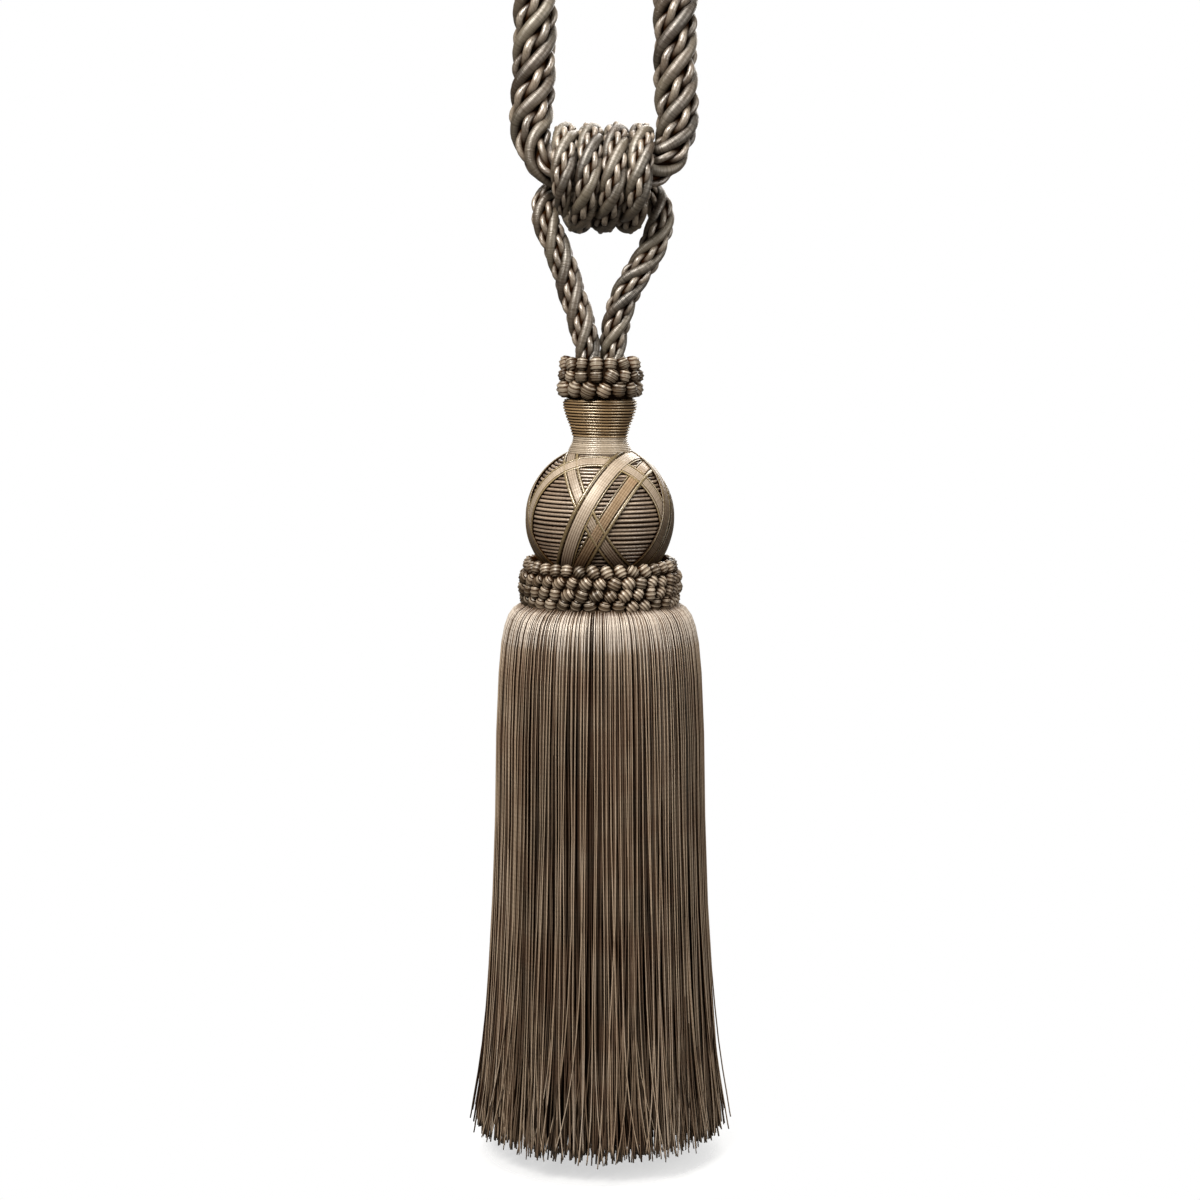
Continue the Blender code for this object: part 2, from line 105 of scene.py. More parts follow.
class Wiring:
    """Places shader nodes in a tree and links them."""

    def __init__(self, tree: bpy.types.NodeTree) -> None:
        """Keep the tree to fill."""
        self.tree = tree

    def feed(self, node: Node, values: dict[str | int, object]) -> None:
        """Link or set inputs of a node.

        Args:
            node: the node.
            values: a socket to link or a plain value for each input's name or number.
        """
        for key, value in values.items():
            if isinstance(value, Socket):
                self.tree.links.new(value, node.inputs[key])
            else:
                node.inputs[key].default_value = value

    def add(self, kind: str, values: dict[str | int, object] | None = None, **settings: object) -> Node:
        """Place one node.

        Args:
            kind: the node's type name.
            values: what its inputs get, as in feed.
            **settings: properties to set on it first.

        Returns:
            The new node.
        """
        node = self.tree.nodes.new(kind)
        for name, value in settings.items():
            setattr(node, name, value)
        self.feed(node, values or {})
        return node

    def calc(self, operation: str, *values: object, clamp: bool = False) -> Socket:
        """The result of a Math node on sockets or numbers, kept from 0 to 1 if clamped."""
        node = self.add("ShaderNodeMath", dict(enumerate(values)), operation=operation, use_clamp=clamp)
        return node.outputs[0]

    def ramp(self, *span: object) -> Socket:
        """A value mapped smoothly: the value, its low and high end, and the results at them."""
        node = self.add("ShaderNodeMapRange", dict(enumerate(span)), interpolation_type="SMOOTHSTEP")
        return node.outputs[0]

    def mix(self, factor: object, first: object, second: object, mode: str = "MIX") -> Socket:
        """Two colours mixed by a factor in a blend mode."""
        values = {0: factor, 6: first, 7: second}
        return self.add("ShaderNodeMix", values, data_type="RGBA", blend_type=mode).outputs[2]

    def noise(self, scale: float, detail: float, stretch: Point = (1.0, 1.0, 1.0)) -> Socket:
        """A noise on Object coordinates.

        Args:
            scale: its spots a metre.
            detail: its octaves.
            stretch: how the coordinates are scaled first.

        Returns:
            The noise's value.
        """
        place = self.add("ShaderNodeTexCoord").outputs["Object"]
        place = self.add("ShaderNodeMapping", {"Vector": place, "Scale": stretch}).outputs[0]
        return self.add("ShaderNodeTexNoise", {"Vector": place, "Scale": scale, "Detail": detail}).outputs[0]


def new_group(
    name: str, inputs: Iterable[str], outputs: Iterable[str]
) -> tuple[Wiring, bpy.types.NodeOutputs, Node]:
    """Make an empty shader node group.

    Args:
        name: the group's name.
        inputs: its inputs' names; one that ends in Colour is a colour.
        outputs: its outputs' names, in the same way.

    Returns:
        The wiring of its tree, the sockets it is given, and its output node.
    """
    tree = bpy.data.node_groups.new(name, "ShaderNodeTree")
    for way, labels in (("INPUT", inputs), ("OUTPUT", outputs)):
        for label in labels:
            kind = "NodeSocketColor" if label.endswith("Colour") else "NodeSocketFloat"
            tree.interface.new_socket(name=label, in_out=way, socket_type=kind)
    wiring = Wiring(tree)
    return wiring, wiring.add("NodeGroupInput").outputs, wiring.add("NodeGroupOutput")


@cache
def twist_relief() -> bpy.types.NodeTree:
    """Ridges that wind along a strand.

    Returns:
        A group from the strand's map to the ridges' height and grooves, and to
        uneven lines across the strand.
    """
    inputs = "Around", "Along", "Pitch", "Strands", "Lines"
    wiring, given, result = new_group("twist_relief", inputs, ("Height", "Groove", "Line"))
    calc = wiring.calc
    place = calc("MULTIPLY", given["Along"], given["Lines"])
    values = {"W": place, "Scale": 1.0, "Detail": 2.0}
    lines = wiring.add("ShaderNodeTexNoise", values, noise_dimensions="1D").outputs[0]
    turned = calc("MULTIPLY", given["Around"], given["Strands"])
    phase = calc("FRACT", calc("ADD", turned, calc("DIVIDE", given["Along"], given["Pitch"])))
    off_ridge = calc("ABSOLUTE", calc("MULTIPLY_ADD", phase, 2.0, -1.0))
    height = calc("SQRT", calc("SUBTRACT", 1.0, calc("MULTIPLY", off_ridge, off_ridge), clamp=True))
    groove = wiring.ramp(off_ridge, 0.55, 1.0, 0.0, 1.0)
    line = wiring.ramp(lines, 0.36, 0.64, -1.0, 1.0)
    wiring.feed(result, {"Height": height, "Groove": groove, "Line": line})
    return wiring.tree


@cache
def thread_tone() -> bpy.types.NodeTree:
    """Colour that varies from strand to strand and along each, with painted shade and a painted sheen.

    Returns:
        A group from four colours and masks to the thread's colour.
    """
    inputs = [f"{name} Colour" for name in ("Dark", "Light", "Sheen", "Tint")]
    inputs += ["Tone", "Tint Share", "Groove", "Depth", "Open", "Line", "Line Share"]
    wiring, given, result = new_group("thread_tone", inputs, ("Thread Colour", "Lit"))
    calc, ramp, mix = wiring.calc, wiring.ramp, wiring.mix
    drift = ramp(wiring.noise(140.0, 2.0, (1.0, 1.0, 0.25)), *NOISE_SPAN, -0.18, 0.18)
    lined = calc("MULTIPLY_ADD", given["Line"], given["Line Share"], drift)
    spun = mix(calc("ADD", given["Tone"], lined, clamp=True), given["Dark Colour"], given["Light Colour"])
    # Painted sheen: tones above 0.9 rise towards the pale sheen colour.
    bright = ramp(calc("ADD", given["Tone"], lined), 0.9, 1.9, 0.0, 1.0)
    plain = mix(bright, spun, given["Sheen Colour"])
    share = calc("MULTIPLY", ramp(wiring.noise(70.0, 1.0), 0.42, 0.66, 0.0, 1.0), given["Tint Share"])
    tinted = mix(calc("MULTIPLY", share, calc("SUBTRACT", 1.0, bright)), plain, given["Tint Colour"])
    # Painted shade: the twist's grooves and the corners closed to the light darken towards a warm brown.
    keep = calc("SUBTRACT", 1.0, calc("MULTIPLY", given["Groove"], given["Depth"]), clamp=True)
    lit = ramp(given["Open"], 0.05, 0.85, 0.0, 1.0)
    shaded = mix(calc("MULTIPLY", keep, lit), WARM_SHADE, WHITE)
    wiring.feed(result, {"Thread Colour": mix(1.0, tinted, shaded, "MULTIPLY"), "Lit": lit})
    return wiring.tree


def new_material(name: str, colour: Colour) -> tuple[Material, Wiring, Node]:
    """Start a material.

    Args:
        name: its name.
        colour: its colour in a plain view.

    Returns:
        The material, its wiring and its surface shader.
    """
    made = bpy.data.materials.new(name)
    made.use_nodes = True
    made.diffuse_color = (*colour, 1.0)
    return made, Wiring(made.node_tree), made.node_tree.nodes["Principled BSDF"]


@dataclass(frozen=True)
class YarnFinish:
    """A spun or wound thread.

    The colours run from dark to light by each strand's own tone, with patches
    of the tint. pitch and strands give the twist that its bump shows, and
    streak draws the highlight out along the strand, or across it if negative.
    lines is how many uneven lines a metre run across it, gleam is the colour of
    its highlight, and sheen is a painted sheen: the colour that tones above one
    rise to. depth is how far painted shade darkens the twist's grooves, and the
    painted shade of closed corners dims the specular as well.
    """

    name: str
    dark: Colour
    light: Colour
    tint: Colour
    tint_share: float = 0.3
    roughness: float = 0.36
    specular: float = 1.0
    pitch: float = 0.6 * MM
    strands: float = 0.0
    relief: float = 0.01 * MM
    depth: float = 0.3
    gloss_drift: float = 0.06
    flecks: float = 900.0
    streak: float = 0.0
    lines: float = 1100.0
    line_share: float = 0.1
    line_shine: float = 2.5
    line_height: float = 1.5
    ior: float = 1.8
    gleam: Colour = (1.0, 0.95, 0.87)
    sheen: Colour | None = None

    @cache
    def material(self) -> Material:
        """Build the finish's material, once.

        Returns:
            The material.
        """
        made, wiring, shader = new_material(self.name, self.light)
        strand_map = wiring.add("ShaderNodeUVMap", uv_map=STRAND_MAP).outputs[0]
        flow = wiring.add("ShaderNodeSeparateXYZ", {0: strand_map}).outputs
        twist = wiring.add("ShaderNodeGroup", node_tree=twist_relief())
        wiring.feed(twist, {"Around": flow[0], "Along": flow[1], "Pitch": self.pitch})
        wiring.feed(twist, {"Strands": self.strands, "Lines": self.lines})
        height, groove, line = twist.outputs
        tone = wiring.add("ShaderNodeGroup", node_tree=thread_tone())
        colours = self.dark, self.light, self.sheen or self.light, self.tint
        wiring.feed(tone, {i: (*colour, 1.0) for i, colour in enumerate(colours)})
        for name in ("Tone", "Open"):
            layer = wiring.add("ShaderNodeAttribute", attribute_name=name.lower())
            wiring.feed(tone, {name: layer.outputs["Fac"]})
        wiring.feed(tone, {"Tint Share": self.tint_share, "Depth": self.depth, "Line Share": self.line_share})
        wiring.feed(tone, {"Groove": groove, "Line": line})
        low, high = self.roughness - self.gloss_drift, self.roughness + self.gloss_drift
        uneven_shine = wiring.calc("MULTIPLY_ADD", line, self.line_shine * self.line_share, 1.0, clamp=True)
        # The painted shade also dims the specular.
        shine = wiring.calc("MULTIPLY", tone.outputs["Lit"], self.specular)
        uneven = wiring.calc("MULTIPLY_ADD", line, self.line_height * self.line_share, height)
        bump = wiring.add("ShaderNodeBump", {"Strength": 1.0, "Distance": self.relief, "Height": uneven})
        wiring.feed(shader, {
            "Base Color": tone.outputs[0],
            "Roughness": wiring.ramp(wiring.noise(self.flecks, 2.0), *NOISE_SPAN, low, high),
            "Specular IOR Level": wiring.calc("MULTIPLY", shine, uneven_shine),
            "Specular Tint": (*self.gleam, 1.0),
            "IOR": self.ior,
            "Normal": bump.outputs[0],
        })
        if self.streak:
            way = wiring.add("ShaderNodeTangent", direction_type="UV_MAP", uv_map=STRAND_MAP).outputs[0]
            turn = 0.25 if self.streak > 0 else 0.0
            wiring.feed(shader, {"Tangent": way, "Anisotropic": abs(self.streak)})
            wiring.feed(shader, {"Anisotropic Rotation": turn})
        return made


@dataclass(frozen=True)
class PlainFinish:
    """A matt ground that is seen only between threads, where its near-black is painted shade, or the studio's
    own.

    fade gives the distances from the tassel's axis over which the studio's
    ground melts into the white behind it, and veil how solid it is before.
    """

    name: str
    colour: Colour
    roughness: float = 0.9
    specular: float = 0.05
    mottle: float = 0.25
    spots: float = 600.0
    fade: tuple[float, float] | None = None
    veil: float = 1.0

    @cache
    def material(self) -> Material:
        """Build the finish's material, once.

        Returns:
            The material.
        """
        made, wiring, shader = new_material(self.name, self.colour)
        colour = (*self.colour, 1.0)
        if self.mottle:
            spots = wiring.ramp(wiring.noise(self.spots, 2.0), *NOISE_SPAN, 1.0 - self.mottle, 1.0)
            colour = wiring.mix(1.0, colour, spots, "MULTIPLY")
        wiring.feed(shader, {"Base Color": colour, "Roughness": self.roughness})
        wiring.feed(shader, {"Specular IOR Level": self.specular})
        if self.fade:
            place = wiring.add("ShaderNodeTexCoord").outputs["Object"]
            axes = wiring.add("ShaderNodeSeparateXYZ", {0: place}).outputs
            squares = [wiring.calc("MULTIPLY", axis, axis) for axis in axes[:2]]
            away = wiring.calc("SQRT", wiring.calc("ADD", *squares))
            wiring.feed(shader, {"Alpha": wiring.ramp(away, *self.fade, self.veil, 0.0)})
        return made


GIMP = YarnFinish(
    "gimp_taupe", dark=(0.022, 0.0145, 0.0085), light=(0.150, 0.122, 0.084), tint=(0.075, 0.040, 0.020),
    tint_share=0.4, roughness=0.42, pitch=0.5 * MM, relief=0.06 * MM, depth=0.35, streak=-0.4,
    line_share=0.13, lines=1500.0,
)
PLIED = YarnFinish(
    "plied_champagne", dark=(0.060, 0.041, 0.026), light=(0.310, 0.252, 0.186), tint=(0.200, 0.135, 0.088),
    tint_share=0.35, roughness=0.4, pitch=3.4 * MM, strands=7.0, relief=0.05 * MM, depth=0.45, ior=1.9,
    gleam=(1.0, 0.965, 0.92),
)
BULLION = YarnFinish(
    "bullion_wound", dark=(0.060, 0.041, 0.023), light=(0.500, 0.415, 0.310), tint=(0.230, 0.150, 0.085),
    tint_share=0.35, roughness=0.44, pitch=0.4 * MM, depth=0.2, ior=1.65, gloss_drift=0.03,
    line_share=0.35, lines=1400.0,
)
NECK_CORD = YarnFinish(
    "neck_gold_brown", dark=(0.070, 0.034, 0.011), light=(0.430, 0.285, 0.140), tint=(0.290, 0.165, 0.060),
    roughness=0.33, pitch=0.8 * MM, strands=3.0, relief=0.012 * MM, ior=2.0, gleam=(1.0, 0.88, 0.68),
    gloss_drift=0.02, line_share=0.03,
)
THROAT_SATIN = YarnFinish(
    "throat_satin", dark=(0.300, 0.235, 0.165), light=(0.620, 0.520, 0.395), tint=(0.430, 0.320, 0.210),
    tint_share=0.25, roughness=0.34, pitch=0.45 * MM, depth=0.4, lines=1500.0,
)
BALL_THREAD = YarnFinish(
    "ball_thread", dark=(0.105, 0.068, 0.043), light=(0.448, 0.344, 0.248), tint=(0.240, 0.145, 0.088),
    specular=0.9, pitch=1.2 * MM, strands=4.0, relief=0.02 * MM, gloss_drift=0.03,
)
STRAP_GIMP = YarnFinish(
    "strap_champagne", dark=(0.200, 0.145, 0.098), light=(0.520, 0.425, 0.320), tint=(0.330, 0.245, 0.165),
    specular=0.6, pitch=0.55 * MM, relief=0.02 * MM, depth=0.22, streak=0.3, line_share=0.16,
    lines=1500.0, ior=1.6,
)
STRAP_GOLD = replace(
    STRAP_GIMP, name="strap_old_gold",
    dark=(0.210, 0.135, 0.070), light=(0.480, 0.345, 0.215), tint=(0.330, 0.190, 0.095),
)
STRAP_BROWN = replace(
    STRAP_GIMP, name="strap_taupe",
    dark=(0.120, 0.083, 0.052), light=(0.340, 0.262, 0.180), tint=(0.200, 0.130, 0.075),
)
GOLD_EDGE = YarnFinish(
    "strap_gold_edge", dark=(0.085, 0.056, 0.026), light=(0.345, 0.258, 0.125), tint=(0.260, 0.180, 0.065),
    roughness=0.28, pitch=0.7 * MM, strands=1.0, relief=0.03 * MM, depth=0.25, ior=1.75,
)
# The fringe's sheen colour is the skirt shoulder's painted sheen.
FRINGE = YarnFinish(
    "fringe_strand", dark=(0.017, 0.0090, 0.0040), light=(0.250, 0.174, 0.112), tint=(0.105, 0.046, 0.022),
    tint_share=0.45, pitch=1.6 * MM, strands=2.0, relief=0.015 * MM, ior=1.6, line_share=0.03,
    gleam=(1.0, 0.92, 0.8), sheen=(0.620, 0.540, 0.455),
)
STRAY = replace(FRINGE, name="fringe_stray", light=(0.490, 0.372, 0.258), tint=(0.270, 0.170, 0.105))
Finish = YarnFinish | PlainFinish
# Painted shade: a near-black fill seen only in the gaps of the ropes, the collars and the head.
SHADE_FILL = PlainFinish("painted_shade_fill", (0.014, 0.007, 0.003))
WHITE_GROUND = PlainFinish("white_ground", (0.86, 0.86, 0.86), mottle=0.0, fade=(0.024, 0.066), veil=0.4)


# Shared modelling


def in_metres(*points: Numbers) -> tuple[tuple[float, ...], ...]:
    """Points given in millimetres, in metres."""
    return tuple(tuple(value * MM for value in point) for point in points)


def unit(vectors: Array) -> Array:
    """Vectors scaled to length one."""
    return vectors / np.linalg.norm(vectors, axis=-1, keepdims=True)


def walked(line: Array) -> Array:
    """How far along its line each point lies."""
    steps = np.linalg.norm(np.diff(line, axis=-2), axis=-1)
    return np.concatenate([np.zeros_like(steps[..., :1]), np.cumsum(steps, axis=-1)], axis=-1)


def sampled(at: Array, walk: Array, line: Array) -> Array:
    """The points of a line at distances along it, where walk has those of its own points."""
    return np.stack([np.interp(at, walk, line[:, k]) for k in range(line.shape[1])], axis=1)


def eased(values: Array, window: int) -> Array:
    """Each value averaged with a window of its neighbours."""
    padded = np.pad(values, window, mode="edge")
    return np.convolve(padded, np.ones(window) / window, mode="same")[window:-window]


def smooth_line(points: Points, steps: int) -> Array:
    """A finer line on the smooth curve through points.

    Args:
        points: the curve's own points.
        steps: how many steps each stretch is cut into.

    Returns:
        The finer line, point by point.
    """
    line = [Vector(point) for point in points]
    line = [2 * line[0] - line[1], *line, 2 * line[-1] - line[-2]]
    fine = []
    for i in range(1, len(line) - 2):
        a, b, c, d = line[i - 1 : i + 3]
        for t in (k / steps for k in range(steps)):
            bend = (2 * a - 5 * b + 4 * c - d) * t * t
            twist = (3 * b - a - 3 * c + d) * t * t * t
            fine.append((2 * b + (c - a) * t + bend + twist) / 2)
    return np.array([*fine, line[-2]])


def corner_turns(sides: int) -> Array:
    """The angles of a ring's corners, the first facing outward."""
    return tau * np.arange(sides) / sides


@dataclass
class Bundle:
    """Strands that are drawn out together, all with as many rings.

    centres and outward are strands by rings by 3, and radii and tones are
    strands by rings. opens, strands by rings by sides, says how far each corner
    lies open to the light, from 0 to 1.
    """

    centres: Array
    outward: Array
    radii: Array
    tones: Array
    sides: int
    opens: Array | None = None

    def rings(self) -> Array:
        """The corners of every ring.

        Returns:
            An array, strands by rings by sides by 3.
        """
        along = unit(np.gradient(self.centres, axis=1))
        out = unit(self.outward - (self.outward * along).sum(-1, keepdims=True) * along)
        side = np.cross(along, out)
        turn = corner_turns(self.sides)[:, None]
        corner = out[:, :, None] * np.cos(turn) + side[:, :, None] * np.sin(turn)
        return self.centres[:, :, None] + corner * self.radii[:, :, None, None]


class Shape:
    """One part of a piece in the making, with the layers that the finishes read."""

    def __init__(self) -> None:
        """Start an empty mesh."""
        self.bm = bmesh.new()
        self.strand = self.bm.verts.layers.int.new("strand")
        layers = (self.bm.verts.layers.float.new(name) for name in ("around", "along", TONE, "open"))
        self.around, self.along, self.tone, self.open = layers

    def mark(self, vert: bmesh.types.BMVert, place: Numbers, *values: float) -> None:
        """Put a vertex in its place and write its around, along, tone and openness."""
        vert.co = place
        vert[self.around], vert[self.along], vert[self.tone], vert[self.open] = values

    @classmethod
    def laid(cls, bundle: Bundle) -> Shape:
        """A few long strands, each from one grid rolled round its line.

        Args:
            bundle: the strands.

        Returns:
            The shape, closed at both ends.
        """
        made = cls()
        sides, walks = bundle.sides, walked(bundle.centres)
        for rings, walk, tones, opens in zip(bundle.rings(), walks, bundle.tones, bundle.opens):
            grid = bmesh.ops.create_grid(made.bm, x_segments=len(rings) - 1, y_segments=sides, size=1.0)
            for i, vert in enumerate(grid["verts"]):
                turn, ring = divmod(i, len(rings))
                at = ring, turn % sides
                made.mark(vert, rings[at], at[1] / sides, walk[ring], tones[ring], opens[at])
        bmesh.ops.remove_doubles(made.bm, verts=made.bm.verts, dist=MERGE)
        return made.closed()

    @classmethod
    def hung(cls, bundle: Bundle) -> Shape:
        """Many short strands, all drawn out together ring by ring.

        Args:
            bundle: the strands.

        Returns:
            The shape, closed at both ends.
        """
        made = cls()
        sides, rings, walks = bundle.sides, bundle.rings(), walked(bundle.centres)
        faces = []
        for strand in range(len(rings)):
            circle = bmesh.ops.create_circle(made.bm, cap_ends=True, segments=sides, radius=MM)["verts"]
            for corner, vert in enumerate(circle):
                vert[made.strand] = strand * sides + corner
            faces.append(circle[0].link_faces[0])
        for step in range(rings.shape[1]):
            if step:
                faces = bmesh.ops.extrude_discrete_faces(made.bm, faces=faces)["faces"]
            for vert in (vert for face in faces for vert in face.verts):
                strand, corner = divmod(vert[made.strand], sides)
                at, spot = (strand, step), (strand, step, corner)
                made.mark(vert, rings[spot], corner / sides, walks[at], bundle.tones[at], bundle.opens[spot])
        return made.closed()

    @classmethod
    def turned(
        cls, outline: Points, steps: int, tone: float = 0.5, closed: bool = False, opens: Numbers = ()
    ) -> Shape:
        """An outline turned once round the Z axis.

        Args:
            outline: its (radius, height) points.
            steps: the segments of the full turn.
            tone: its tone from dark to light.
            closed: whether the outline's last point joins its first.
            opens: how far each point lies open to the light; fully if not given.

        Returns:
            The shape.
        """
        made = cls()
        bm, verts, walk = made.bm, [], 0.0
        for i, (radius, height) in enumerate(outline):
            walk += dist(outline[i - 1], outline[i]) if i else 0.0
            verts.append(bm.verts.new())
            made.mark(verts[-1], (radius, 0.0, height), 0.0, walk, tone, opens[i] if opens else 1.0)
        pairs = list(zip(verts, verts[1:] + verts[:1]))
        edges = [bm.edges.new(pair) for pair in (pairs if closed else pairs[:-1])]
        turn = {"cent": (0, 0, 0), "axis": (0, 0, 1), "angle": tau, "steps": steps, "use_merge": True}
        bmesh.ops.spin(bm, geom=verts + edges, **turn)
        bmesh.ops.remove_doubles(bm, verts=bm.verts, dist=SEAM)
        for vert in bm.verts:
            vert[made.around] = (atan2(vert.co.y, vert.co.x) / tau) % 1.0
        return made

    def closed(self) -> Shape:
        """Fill every open end and give this shape back."""
        bmesh.ops.holes_fill(self.bm, edges=[edge for edge in self.bm.edges if edge.is_boundary], sides=0)
        return self


def as_mesh(name: str, bm: bmesh.types.BMesh) -> Mesh:
    """A mesh from a bmesh, which is freed.

    Args:
        name: the mesh's name.
        bm: what it is made from.

    Returns:
        The mesh.
    """
    mesh = bpy.data.meshes.new(name)
    bm.to_mesh(mesh)
    bm.free()
    return mesh


def placed(name: str, mesh: Mesh) -> Object:
    """An object of a mesh, put in the scene.

    Args:
        name: the object's name.
        mesh: its mesh.

    Returns:
        The object.
    """
    made = bpy.data.objects.new(name, mesh)
    bpy.context.scene.collection.objects.link(made)
    return made


class Piece:
    """A mesh put together from shapes, which ends as one object of the tassel."""

    def __init__(self, name: str) -> None:
        """Start with nothing but the finished object's name."""
        self.name, self.bm = name, bmesh.new()
        self.materials: list[Material] = []

    def add(self, shape: Shape | Mesh, finish: Finish, tone: float | None = None) -> None:
        """Put a shape in, which is used up.

        Args:
            shape: the shape, or its mesh.
            finish: what it is made of.
            tone: its tone, where the shape's own isn't kept.
        """
        material = finish.material()
        mesh = as_mesh("shape", shape.bm) if isinstance(shape, Shape) else shape
        if material not in self.materials:
            self.materials.append(material)
        faces = len(mesh.polygons)
        index = np.full(faces, self.materials.index(material), np.int32)
        mesh.polygons.foreach_set("material_index", index)
        mesh.polygons.foreach_set("use_smooth", np.ones(faces, bool))
        if tone is not None:
            mesh.attributes[TONE].data.foreach_set("value", np.full(len(mesh.vertices), tone, np.float32))
        self.bm.from_mesh(mesh)
        bpy.data.meshes.remove(mesh)

    def finish(self, slot: Slot, *nodes: str) -> Object:
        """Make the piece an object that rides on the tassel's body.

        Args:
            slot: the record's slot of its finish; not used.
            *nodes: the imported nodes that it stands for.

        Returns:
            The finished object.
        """
        bmesh.ops.recalc_face_normals(self.bm, faces=self.bm.faces)
        self._map_strands()
        made = placed(self.name, as_mesh(self.name, self.bm))
        for material in self.materials:
            made.data.materials.append(material)
        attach(made, BODY)
        if nodes:
            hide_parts(*nodes)
        return made

    def _map_strands(self) -> None:
        """Write each face corner's place around and along its strand as a UV map."""
        layers = self.bm.verts.layers
        around, along = layers.float["around"], layers.float["along"]
        strand_map = self.bm.loops.layers.uv.new(STRAND_MAP)
        for face in self.bm.faces:
            turns = [loop.vert[around] for loop in face.loops]
            over_seam = max(turns) - min(turns) > 0.5
            for loop, turn in zip(face.loops, turns):
                loop[strand_map].uv = turn + (over_seam and turn < 0.5), loop.vert[along]
        for name in ("around", "along"):
            layers.float.remove(layers.float[name])
        layers.int.remove(layers.int["strand"])


# Ropes


class Route:
    """One smooth line through given points, with frames carried along it."""

    def __init__(self, points: Points, step: float, fineness: int = 20) -> None:
        """Space points evenly along the line.

        Args:
            points: the line's own points.
            step: how far apart the even ones lie.
            fineness: the steps that the curve has between its own points.
        """
        line = smooth_line(points, fineness)
        walk = walked(line)
        self.length = float(walk[-1])
        self.count = round(self.length / step) + 1
        self.walked = np.linspace(0.0, self.length, self.count)
        self.centres = sampled(self.walked, walk, line)
        self.tangents = unit(np.gradient(self.centres, axis=0))
        self.normals = self._carry()
        self.binormals = np.cross(self.tangents, self.normals)

    def _carry(self) -> Array:
        """A normal at each point, carried along without twisting.

        Returns:
            The normals.
        """
        tangent = Vector(self.tangents[0])
        normal = Vector((0.0, -1.0, 0.0))
        carried = []
        for after in map(Vector, self.tangents):
            normal = tangent.rotation_difference(after) @ normal
            normal = (normal - normal.dot(after) * after).normalized()
            carried.append(normal)
            tangent = after
        return np.array(carried)


@dataclass(frozen=True)
class Strand:
    """How one kind of strand lies in a rope.

    start is its place between its neighbours, and depth how far its middle lies
    below the rope's outside in diameters. Its plies turn against the rope.
    """

    finish: YarnFinish
    diameter: float
    step: float
    sides: int
    start: float
    depth: float
    plies: int = 1


